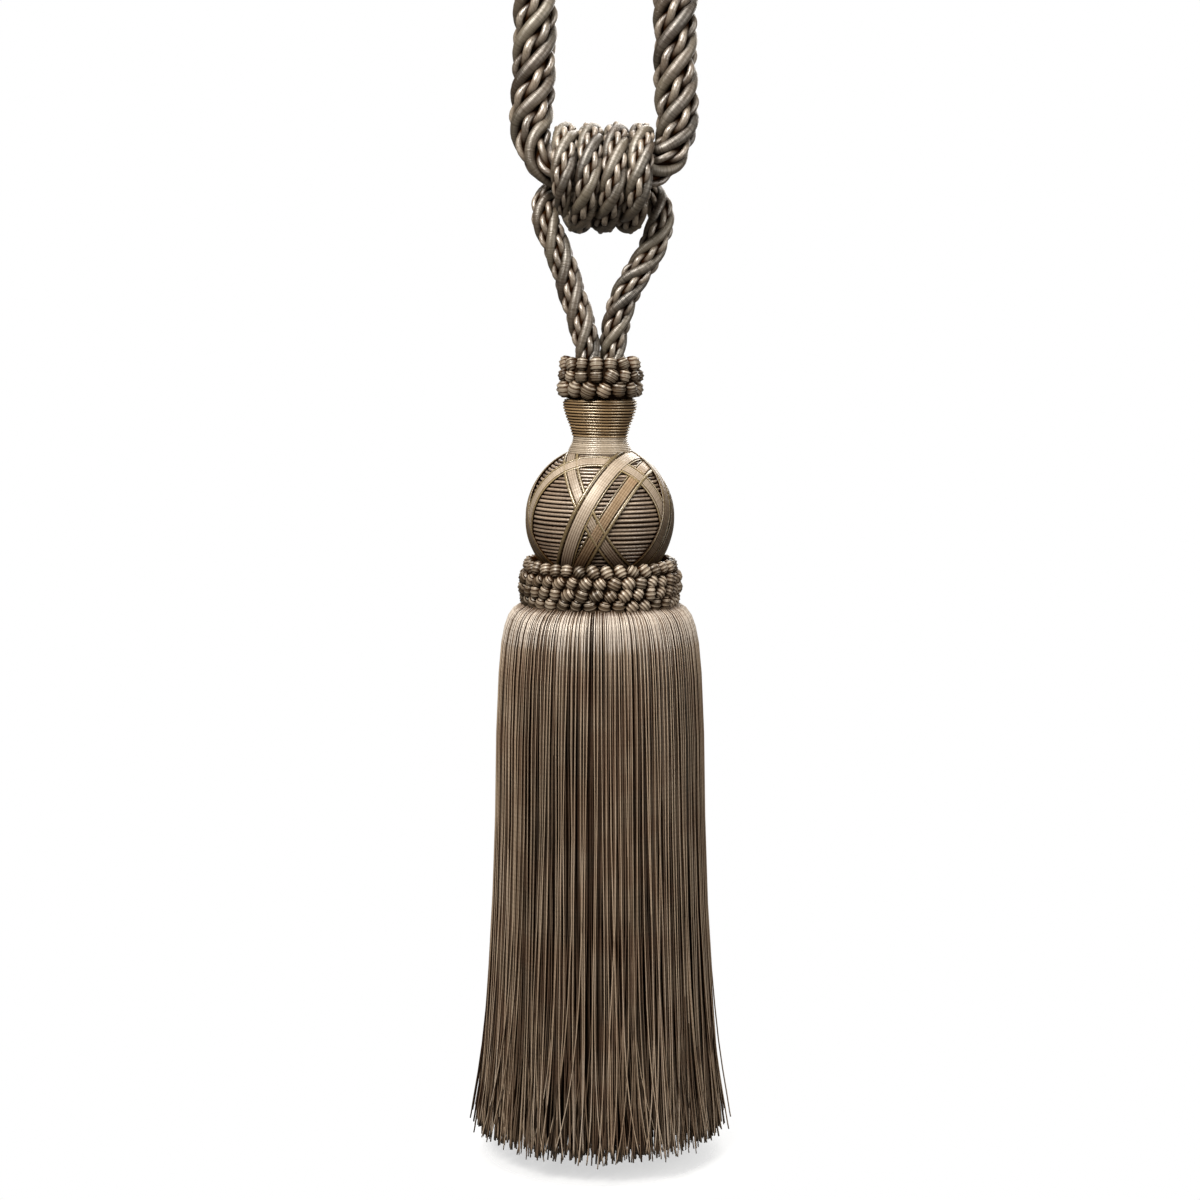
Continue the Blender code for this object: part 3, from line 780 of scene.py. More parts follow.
@dataclass
class Rope:
    """A rope of three smooth gimp strands and three two-ply cords by turns.

    lay is the length of one turn of its strands, and phase_deg turns them all.
    share_at says how much of its full thickness the rope has at each point, and
    fullness swells the whole rope, so that turns press against each other.
    """

    name: str
    node: str
    points: Points
    diameter: float
    lay: float
    phase_deg: float
    gimp_diameter: float
    ply_diameter: float
    ply_pitch: float
    length: float
    seed: int
    share_at: Callable[[Array, Array], Array]
    hang: str = "hanging"
    gimp_step: float = 0.8 * MM
    ply_step: float = 0.5 * MM
    path_step: float = 3.0 * MM
    gimp_sides: int = 14
    ply_sides: int = 9
    core_share: float = 0.6
    core_sides: int = 12
    fullness: float = 1.0
    painted_shade_below: float = 0.66
    wires: int = 3
    ease_over: float = 9.0 * MM
    ply_depth: float = 0.95
    ply_offset: float = 0.17
    gimp_tones: Numbers = (0.12, 0.85)
    ply_tones: Numbers = (0.35, 0.95)
    tone_drift: float = 0.16
    drift_marks: int = 16

    def build(self) -> Object:
        """Returns:
            The finished rope.
        """
        rng = np.random.default_rng(self.seed)
        piece = Piece(self.name)
        route = Route(self.points, self.path_step / 2)
        radii = self._shares(route) * self.diameter / 2 * self.core_share
        even = np.ones((1, route.count, self.core_sides))
        line = route.centres[None], route.normals[None], radii[None]
        core = Bundle(*line, even[:, :, 0], self.core_sides, even)
        # The core is painted shade: a near-black fill between the strands.
        piece.add(Shape.laid(core), SHADE_FILL)
        gimp = Strand(GIMP, self.gimp_diameter, self.gimp_step, self.gimp_sides, 0.0, 0.5)
        plied = Strand(PLIED, self.ply_diameter, self.ply_step, self.ply_sides, 0.5, self.ply_depth, 2)
        self._lay(piece, gimp, rng.permutation(np.linspace(*self.gimp_tones, self.wires)), rng)
        self._lay(piece, plied, rng.uniform(*self.ply_tones, plied.plies * self.wires), rng)
        made = piece.finish(Slot.ROPE, self.node)
        path = Route(self.points, self.path_step)
        LOG.info("%s: %.1f mm long", self.name, path.length / MM)
        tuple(self.points[0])
        return made

    def _shares(self, route: Route) -> Array:
        """The rope's thickness share along a route, eased at each change."""
        shares = self.share_at(route.centres, route.walked) * self.fullness
        return eased(shares, max(1, round(self.ease_over / (route.length / route.count))))

    def _lay(self, piece: Piece, kind: Strand, own: Array, rng: np.random.Generator) -> None:
        """Lay every strand of one kind, with painted shade where it lies deep in the rope.

        Args:
            piece: the rope in the making.
            kind: how the strands lie.
            own: their tones.
            rng: the draws for the tones' drift.
        """
        route = Route(self.points, kind.step)
        shares = self._shares(route)
        radius = shares * kind.diameter / 2
        reach = shares * (self.diameter / 2 - kind.depth * kind.diameter)
        centres, outward = [], []
        for wire in range(self.wires):
            place = route.walked / self.lay + (wire + kind.start) / self.wires
            angle = (tau * place + radians(self.phase_deg))[:, None]
            out = route.normals * np.cos(angle) + route.binormals * np.sin(angle)
            side = np.cross(route.tangents, out)
            middle = route.centres + out * reach[:, None]
            for ply in range(kind.plies):
                turn = ply / kind.plies + self.ply_offset * wire - route.walked / self.ply_pitch
                turn = tau * turn[:, None]
                away = out * np.cos(turn) + side * np.sin(turn) if kind.plies > 1 else out
                outward.append(away)
                centres.append(middle + away * radius[:, None] if kind.plies > 1 else middle)
        marks = np.linspace(0.0, route.length, self.drift_marks)
        drift = [rng.uniform(-self.tone_drift, self.tone_drift, self.drift_marks) for _ in own]
        tones = own[:, None] + np.array([np.interp(route.walked, marks, values) for values in drift])
        radii = np.tile(radius, (len(own), 1))
        strands = Bundle(np.array(centres), np.array(outward), radii, np.clip(tones, 0.0, 1.0), kind.sides)
        # Painted shade: each corner darkens the deeper it lies in the rope.
        out_at = np.linalg.norm(strands.rings() - route.centres[None, :, None], axis=-1)
        share = out_at / (self.diameter / 2 * shares)[None, :, None]
        strands.opens = np.clip((share - self.painted_shade_below) / (1.0 - self.painted_shade_below), 0.0, 1.0)
        piece.add(Shape.laid(strands), kind.finish)


@dataclass
class Ropework:
    """The loop's rope, the eye that carries the tassel, and the barrel."""

    barrel_z: float = -79.3 * MM
    leg_left_x: float = -21.0 * MM
    leg_right_x: float = 24.3 * MM
    crown_points: int = 7
    loop_diameter: float = 14.6 * MM
    eye_diameter: float = 9.5 * MM
    wrap_diameter: float = 8.0 * MM
    turn_pitch: float = 8.2 * MM
    first_top_x: float = -11.1 * MM
    wrap_half_height: float = 13.9 * MM
    wrap_half_depth: float = 16.2 * MM
    wrap_start_deg: float = -146.0
    wrap_end_deg: float = 1183.0
    wrap_point_deg: float = 11.0
    wrap_tail_deg: float = 62.0
    wrap_tail_share: float = 0.42
    wrap_tail_pull: float = 1.9 * MM
    wrap_lean: float = 1.2 * MM
    squeeze_in_barrel: float = 0.86
    squeeze_in_collar: float = 0.9
    eye_behind_y: float = 3.0 * MM
    loop_right: Points = in_metres(
        (1.7, -4.6, -77.6), (9, -4.6, -77.6), (15.4, -4.1, -77.1), (21.4, -2.9, -73.3),
        (24.6, -1, -65.6), (24.9, 0, -57), (24.5, 0, -44), (24.3, 0, -28),
    )
    loop_left: Points = in_metres(
        (-21, 0, -28), (-21.3, 0, -44), (-22.2, 0, -57), (-22.2, -1, -66),
        (-19, -2.9, -73.4), (-13, -4.2, -76.9), (-6.6, -4.6, -77.6), (0.9, -4.6, -77.6),
    )
    eye_line: Points = in_metres(
        (-3.9, -2.1, -152.6), (-3.9, -2.1, -143), (-4.1, -1.9, -135.4), (-5.8, -1, -127),
        (-9.2, 0, -116.4), (-12.8, 0, -105.2), (-16.9, 0.8, -95.2), (-18.3, 2.2, -89.4),
        (-17, 4.6, -84.9), (-11.6, 6.7, -82.2), (-4, 7.3, -81.6), (6, 7.3, -81.6),
        (13.6, 6.7, -82.4), (18.6, 4.6, -85.8), (19.8, 2.2, -91), (18.5, 0.8, -98.4),
        (14.4, 0.2, -106.8), (9.4, 0, -114.6), (5.9, 1, -124), (4.2, 1.9, -134),
        (3.9, 2.1, -143), (3.9, 2.1, -152.6),
    )

    def build(self) -> list[Object]:
        """Lay the three ropes.

        Returns:
            The three finished ropes.
        """
        loop = Rope(
            "loop_rope", "embrace_rope", self._loop_points(), self.loop_diameter,
            lay=38.3 * MM, phase_deg=-14.0, gimp_diameter=4.3 * MM, ply_diameter=2.6 * MM,
            ply_pitch=11.5 * MM, length=0.239, seed=11, share_at=self._in_loop,
            gimp_step=1.0 * MM, ply_step=0.6 * MM,
        )
        eye = Rope(
            "eye_rope", "eye_cord", self.eye_line, self.eye_diameter,
            lay=33.8 * MM, phase_deg=0.0, gimp_diameter=3.4 * MM, ply_diameter=2.0 * MM,
            ply_pitch=8.6 * MM, length=0.187, seed=12, share_at=self._in_eye,
        )
        wrap = Rope(
            "barrel_wrap", "wrap_cord", self._wrap_points(), self.wrap_diameter,
            lay=36.0 * MM, phase_deg=0.0, gimp_diameter=3.4 * MM, ply_diameter=1.85 * MM,
            ply_pitch=8.2 * MM, length=0.352, seed=13, share_at=self._in_wrap,
            hang="taut", ply_step=0.55 * MM, fullness=1.07,
        )
        return [rope.build() for rope in (loop, eye, wrap)]

    def _in_loop(self, centres: Array, walk: Array) -> Array:
        """The loop's thickness share at each point, less inside the barrel."""
        return np.where(centres[:, 2] < self.barrel_z + self.loop_diameter, self.squeeze_in_barrel, 1.0)

    def _in_eye(self, centres: Array, walk: Array) -> Array:
        """The eye's thickness share at each point, less inside the barrel and the collar."""
        in_collar = centres[:, 2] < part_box("upper_collar")[1].z + self.eye_diameter / 2
        shares = np.where(centres[:, 1] > self.eye_behind_y, self.squeeze_in_barrel, 1.0)
        return np.where(in_collar, self.squeeze_in_collar, shares)

    def _in_wrap(self, centres: Array, walk: Array) -> Array:
        """The wrapping cord's thickness share at each point, less towards its tails."""
        tail = walk[-1] * self.wrap_tail_deg / (self.wrap_end_deg - self.wrap_start_deg)
        near_end = np.minimum(np.minimum(walk, walk[-1] - walk), tail) / tail
        return self.wrap_tail_share + (1 - self.wrap_tail_share) * near_end

    def _loop_points(self) -> list[Point]:
        """The loop's centre line: out of the barrel, up, over and down.

        Returns:
            Its points, in metres.
        """
        middle_x = (self.leg_left_x + self.leg_right_x) / 2
        radius = (self.leg_right_x - self.leg_left_x) / 2
        spring_z = self.loop_diameter / 2 - radius
        crown = []
        for angle in (pi * i / (self.crown_points - 1) for i in range(self.crown_points)):
            crown.append((middle_x + radius * cos(angle), 0.0, spring_z + radius * sin(angle)))
        return [*self.loop_right, *crown, *self.loop_left]

    def _wrap_points(self) -> list[Point]:
        """The wrapping cord's centre line, turn after turn to the right.

        Returns:
            Its points, in metres.
        """
        start, end, tail = self.wrap_start_deg, self.wrap_end_deg, self.wrap_tail_deg
        count = round((end - start) / self.wrap_point_deg)
        points = []
        for degrees in (start + (end - start) * i / count for i in range(count + 1)):
            angle = radians(degrees)
            pull = max(start + tail - degrees, 0.0) ** 2 - max(degrees - end + tail, 0.0) ** 2
            x = self.first_top_x + self.turn_pitch * angle / tau
            x += self.wrap_tail_pull * pull / tail**2 - self.wrap_lean * sin(angle)
            y = self.wrap_half_depth * sin(angle)
            points.append((x, y, self.barrel_z + self.wrap_half_height * cos(angle)))
        return points


# Collars


@dataclass(frozen=True)
class KnotRow:
    """One row of wound knots, in millimetres; drop is how far it lies below the collar's top."""

    drop: float
    radius: float
    turn: float
    width: float
    height: float
    lean_deg: float
    tip_deg: float


@dataclass
class KnottedCollar:
    """A ring, near-black as painted shade between its knots, that is covered with rows of small wound knots.

    The core's outline has its low points, as (radius, height above the foot),
    and its high points, as (radius, height below the top).
    """

    name: str
    node: str
    knots: int
    seed: int
    core_low: Points
    core_high: Points
    rows: Sequence[KnotRow]
    core_steps: int = 72
    rings: int = 5
    steps: int = 10
    roundness: float = 0.55
    ring_relief: float = 0.09
    # Painted shade between the rings and on the knots' inner side.
    between_rings: float = 0.15
    side_light: float = 0.05
    front_light: float = 1.4
    size_jitter: float = 0.1
    place_jitter: float = 0.24 * MM
    lean_jitter_deg: float = 30.0
    tones: Numbers = (0.1, 0.95)

    def build(self) -> list[Object]:
        """Model the ring and set its knots.

        Returns:
            The finished collar.
        """
        rng = random.Random(self.seed)
        low, high = (corner.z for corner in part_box(self.node))
        core = [(radius, low + above) for radius, above in self.core_low]
        core += [(radius, high - below) for radius, below in self.core_high]
        piece = Piece(self.name)
        piece.add(Shape.turned(core, self.core_steps, closed=True), SHADE_FILL)
        knot = as_mesh("knot", self._knot().bm)
        for row in self.rows:
            for i in range(self.knots):
                tied = knot.copy()
                tied.transform(self._place(row, i, high, rng))
                piece.add(tied, BULLION, rng.uniform(*self.tones))
        return [piece.finish(Slot.KNOTS, self.node)]

    def _knot(self) -> Shape:
        """One knot, with painted shade at its poles, between its rings and where it faces inward.

        Returns:
            The knot, one unit wide and high, its open side towards +X.
        """
        count = 2 * self.rings
        outline, opens = [(0.0, -0.5)], [0.0]
        for i in range(1, count):
            angle = pi * i / count
            ridge = 1.0 if i % 2 else 1.0 - 2 * self.ring_relief
            outline.append((0.5 * sin(angle) ** self.roundness * ridge, -0.5 * cos(angle)))
            opens.append(1.0 if i % 2 else self.between_rings)
        knot = Shape.turned([*outline, (0.0, 0.5)], self.steps, opens=[*opens, 0.0])
        for vert in knot.bm.verts:
            facing = self.side_light + (self.front_light - self.side_light) * 2 * vert.co.x
            vert[knot.open] *= min(1.0, max(0.0, facing))
            vert[knot.along] *= self.rows[0].height * MM
        return knot

    def _place(self, row: KnotRow, i: int, top: float, rng: random.Random) -> Matrix:
        """Where one knot of a row sits, and how it leans.

        Args:
            row: the knot's row.
            i: its number in the row.
            top: the height of the collar's top.
            rng: the draws for its small differences.

        Returns:
            Its placing, from a knot one unit wide and high.
        """
        wide, high = (1 + rng.uniform(-1, 1) * self.size_jitter for _ in range(2))
        radius = row.radius * MM + rng.uniform(-1, 1) * self.place_jitter
        z = top - row.drop * MM + rng.uniform(-1, 1) * self.place_jitter
        lean = radians(row.lean_deg + rng.uniform(-1, 1) * self.lean_jitter_deg)
        return (
            Matrix.Rotation(tau * (i + row.turn) / self.knots, 4, "Z")
            @ Matrix.Translation((radius, 0.0, z))
            @ Matrix.Rotation(radians(row.tip_deg), 4, "Y")
            @ Matrix.Rotation(lean, 4, "X")
            @ Matrix.Diagonal((row.width * wide * MM, row.width * wide * MM, row.height * high * MM, 1.0))
        )


UPPER_COLLAR = KnottedCollar(
    "upper_knots", "upper_collar", 15, 21,
    core_low=in_metres((8.6, 0), (11, 0), (12.2, 3)),
    core_high=in_metres((11.3, 2), (9.4, 0.6), (8.6, 1)),
    rows=(
        KnotRow(2.2, 11.2, 0.0, 4.9, 4.6, 0.0, -12.0),
        KnotRow(6.1, 11.8, 0.0, 4.9, 4.3, 0.0, 0.0),
        KnotRow(10.4, 11.9, 0.5, 5.5, 5.0, -14.0, 8.0),
    ),
)
LOWER_COLLAR = KnottedCollar(
    "lower_knots", "lower_collar", 34, 22,
    core_low=in_metres((17, 0), (24.8, 0), (25.3, 5)),
    core_high=in_metres((24.6, 2.5), (21.6, 1.5)),
    rows=(
        KnotRow(1.5, 23.7, 0.0, 4.4, 4.3, 30.0, -25.0),
        KnotRow(5.4, 25.0, 0.5, 4.4, 4.3, -30.0, 0.0),
        KnotRow(9.0, 25.2, 0.24, 4.4, 4.4, -30.0, 0.0),
        KnotRow(12.7, 24.8, 0.8, 4.5, 4.3, -20.0, 14.0),
    ),
)


# Head


@dataclass
class Winding:
    """A thread wound round and round down a turned outline.

    The outline's points are (radius, height), from the top down; the thread is
    sunk so that its outer side reaches it. pitch and thread are in millimetres.
    gap_shade narrows the thread's lit part, and low_shade darkens the foot.
    """

    name: str
    outline: Points
    pitch: float
    thread: float
    finish: YarnFinish
    seed: int
    steps: int
    sides: int = 8
    jitter: float = 0.06
    gap_shade: float = 1.5
    low_shade: float = 0.0
    tones: Numbers = (0.15, 0.9)

    def build(self) -> Object:
        """Wind the thread.

        Returns:
            The finished winding.
        """
        rng = np.random.default_rng(self.seed)
        line = np.array(self.outline)
        walk = walked(line)
        turns = max(1, round(walk[-1] / (self.pitch * MM)))
        radius = self.thread * MM / 2
        share = np.linspace(0.0, 1.0, turns * self.steps + 1)
        wander = np.interp(share * turns, np.arange(turns + 1), rng.uniform(-1, 1, turns + 1))
        place = sampled((share + wander * self.jitter / turns) * walk[-1], walk, line)
        slope = np.gradient(sampled(share * walk[-1], walk, line), axis=0)
        slope = unit(np.stack([eased(column, self.steps) for column in slope.T], axis=1))
        out = np.stack([-slope[:, 1], slope[:, 0]], axis=1)
        angle = tau * share * turns
        spin = np.stack([np.cos(angle), np.sin(angle)], axis=1)
        middle = place - out * radius
        centres, outward = (np.column_stack([flat[:, :1] * spin, flat[:, 1]]) for flat in (middle, out))
        laps = np.minimum(share * turns, turns - 1).astype(int)
        tones = rng.uniform(*self.tones, turns)[laps][None]
        radii = np.full((1, len(centres)), radius)
        # Painted shade: the thread darkens away from its crest, and towards the foot.
        crest = np.maximum(0.0, np.cos(corner_turns(self.sides))) ** self.gap_shade
        low = (place[0, 1] - place[:, 1]) / (place[0, 1] - place[-1, 1])
        opens = crest * (1.0 - self.low_shade * low**2)[None, :, None]
        piece = Piece(self.name)
        thread = Bundle(centres[None], outward[None], radii, tones, self.sides, opens)
        piece.add(Shape.laid(thread), self.finish)
        return piece.finish(Slot.HEAD)


@dataclass
class Head:
    """The turned head: wound neck, satin throat, and wound ball."""

    ball_z: float = -190.6 * MM
    ball_radius: float = 23.8 * MM
    ball_top_deg: float = 23.0
    ball_end_deg: float = 142.0
    ball_step_deg: float = 3.0
    ground_sink: float = 0.75 * MM
    neck_sink: float = 0.3 * MM
    top_sink: float = 2.1 * MM
    top_radius: float = 9.2 * MM
    foot_radius: float = 11.0 * MM
    ground_steps: int = 96
    throat_steps: int = 3
    neck: Points = in_metres(
        (10.3, -151.2), (11.6, -151.1), (12.3, -152.2), (12.2, -154),
        (11.4, -156.8), (10.2, -159.8), (9.4, -162.6), (9.2, -163.4),
    )
    throat: Points = in_metres(
        (9, -162.8), (9, -163.6), (9.2, -165), (9.8, -166.4), (10.4, -167.6), (10.7, -168.8),
    )

    def build(self) -> list[Object]:
        """Model the ground, near-black as painted shade between the threads, and the windings on it.

        Returns:
            The finished pieces.
        """
        angles = np.radians(np.arange(self.ball_top_deg, self.ball_end_deg, self.ball_step_deg))
        ball = self.ball_radius * np.stack([np.sin(angles), np.cos(angles)], axis=1) + (0.0, self.ball_z)
        throat = smooth_line(self.throat, self.throat_steps)
        windings = (
            Winding("throat_winding", throat, 0.62, 0.66, THROAT_SATIN, 33, 56, 6, gap_shade=0.5),
            Winding("neck_winding", self.neck, 1.04, 0.74, NECK_CORD, 31, 56),
            Winding("ball_winding", ball, 1.42, 1.1, BALL_THREAD, 32, 72, jitter=0.12, low_shade=0.42),
        )
        low, high = (corner.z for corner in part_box("head"))
        line = [(0.0, high - self.top_sink), (self.top_radius, high - self.top_sink)]
        line += [(radius - self.ground_sink, z - self.neck_sink) for radius, z in self.neck[1:]]
        line += [(radius - self.ground_sink, z) for radius, z in ball]
        line += [(self.foot_radius, low), (0.0, low)]
        ground = Piece("head_ground")
        ground.add(Shape.turned(line, self.ground_steps), SHADE_FILL)
        return [ground.finish(Slot.HEAD, "head"), *(winding.build() for winding in windings)]


@dataclass(frozen=True)
class StrapRow:
    """One strap: its circle on the ball, and what it is made of.

    The circle's axis has an azimuth and a dip, and offset_deg is how far along
    the axis the circle lies. layer counts up from the lowest strap. band is the
    width between the cords and cords the two cords' diameters, in millimetres.
    """

    azimuth_deg: float
    dip_deg: float
    offset_deg: float
    layer: int
    tone: float
    band: float
    cords: Numbers
    finish: YarnFinish = STRAP_GIMP


@dataclass
class Straps:
    """Flat straps that cross on the ball, each with a cord along its edges."""

    ball_z: float = -190.6 * MM
    inner_radius: float = 23.75 * MM
    sunk: float = 0.9 * MM
    thickness: float = 0.42 * MM
    edge_gap: float = 0.15 * MM
    lift: float = 0.1 * MM
    thread: float = 0.8 * MM
    valley: float = 0.7
    valley_light: float = 0.45
    edge_light: float = 0.3
    thick_cord: float = 0.7 * MM
    thick_cord_tone: float = 0.25
    cord_rise: float = 0.3
    cord_flat: float = 0.8
    cord_low_light: float = 0.1
    cord_gap_shade: float = 1.5
    cord_corners: int = 8
    steps: int = 96
    cut_below: float = 2.5 * MM
    shade_from: float = 9.0 * MM
    shade_over: float = 23.0 * MM
    shade: float = 0.65
    rows: Sequence[StrapRow] = (
        StrapRow(164.2, 28.1, -8.2, 0, 0.6, 3.0, (1.1, 1.1)),
        StrapRow(-10.0, 31.3, 10.4, 1, 0.5, 3.3, (0.5, 1.25), STRAP_GOLD),
        StrapRow(83.7, 11.0, 22.5, 1, 0.7, 3.3, (0.85, 0.85)),
        StrapRow(-96.3, 11.5, 23.2, 2, 0.75, 3.3, (0.85, 0.85)),
        StrapRow(-22.1, 24.6, 5.1, 3, 0.9, 3.9, (1.5, 0.5)),
        # These three straps, on the ball's right, are their own browner colour; their low tones are partly
        # painted shade on that side.
        StrapRow(98.0, 24.0, -3.0, 4, 0.6, 3.2, (0.9, 0.9), STRAP_BROWN),
        StrapRow(84.0, 23.0, -6.0, 5, 0.2, 3.2, (0.9, 0.9), STRAP_BROWN),
        StrapRow(70.5, 23.0, -9.0, 6, 0.4, 3.2, (0.9, 0.9), STRAP_BROWN),
    )

    def build(self) -> list[Object]:
        """Model every strap in one piece: its flat band of threads, then its two cords.

        Returns:
            The finished straps.
        """
        piece = Piece("crossed_straps")
        for row in self.rows:
            half, threads = row.band * MM / 2, 2 * round(row.band * MM / self.thread)
            profile = [(-half, -self.sunk, 0.0)]
            for i in range(threads + 1):
                crest = i % 2 == 1
                # Painted shade at the band's edges and in the valleys between its threads.
                light = self.edge_light if i in (0, threads) else 1.0 if crest else self.valley_light
                above = self.thickness * (1.0 if crest else self.valley)
                profile.append((half * (2 * i / threads - 1), above, light))
            profile.append((half, -self.sunk, 0.0))
            piece.add(self._laid_over(row, profile, row.tone), row.finish)
            for side, diameter in zip((-1, 1), row.cords):
                radius = diameter * MM / 2
                across = side * (half + self.edge_gap + radius)
                profile = []
                for angle in corner_turns(self.cord_corners).tolist():
                    # Painted shade on the cord's underside and sides.
                    crest = max(0.0, cos(angle)) ** self.cord_gap_shade
                    light = self.cord_low_light + (1 - self.cord_low_light) * crest
                    above = radius * (self.cord_rise + self.cord_flat * cos(angle))
                    profile.append((across + radius * sin(angle), above, light))
                tone = self.thick_cord_tone if radius > self.thick_cord else row.tone
                piece.add(self._laid_over(row, profile, tone), GOLD_EDGE)
        return [piece.finish(Slot.STRAP, "straps")]

    def _laid_over(self, row: StrapRow, profile: Points, tone: float) -> Shape:
        """Lay a profile round the strap's circle and cut it where the collar hides it.

        Args:
            row: the strap.
            profile: its points (across the strap, above the ball, openness).
            tone: its tone from dark to light.

        Returns:
            The shape, with its map turned to run along the strap.
        """
        inner = self.inner_radius + row.layer * self.lift
        outline = []
        for across, above, _ in profile:
            angle = radians(row.offset_deg) + across / inner
            outline.append(((inner + above) * cos(angle), (inner + above) * sin(angle)))
        shape = Shape.turned(outline, self.steps, tone, closed=True, opens=[light for _, _, light in profile])
        tilt = Matrix.Rotation(radians(90 + row.dip_deg), 4, "Y")
        turn = Matrix.Rotation(radians(row.azimuth_deg), 4, "Z")
        bm = shape.bm
        bm.transform(Matrix.Translation((0, 0, self.ball_z)) @ turn @ tilt)
        for vert in bm.verts:
            around, along = vert[shape.around], vert[shape.along]
            vert[shape.around] = along / (row.band * MM)
            vert[shape.along] = around * tau * inner
            # Painted shade: the straps darken towards the ball's foot.
            low = (self.ball_z + self.shade_from - vert.co.z) / self.shade_over
            vert[shape.open] *= 1.0 - self.shade * min(1.0, max(0.0, low))
        bmesh.ops.bisect_plane(
            bm,
            geom=[*bm.verts, *bm.edges, *bm.faces],
            plane_co=(0, 0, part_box("lower_collar")[1].z - self.cut_below),
            plane_no=(0, 0, -1),
            clear_outer=True,
        )
        return shape


# Skirt


@dataclass(frozen=True)
class SkirtLayer:
    """One layer of fringe strands, its lengths in millimetres.

    depth is the range of how far they lie inside the skirt's outer line, and
    tone their middle tone and its spread. spread and bend are how far the ends
    wander sideways, along the whole strand and just above the hem.
    """

    name: str
    strands: int
    depth: Numbers
    tone: Numbers
    thickness: float
    spread: float
    bend: float
    seed: int
    finish: YarnFinish = FRINGE


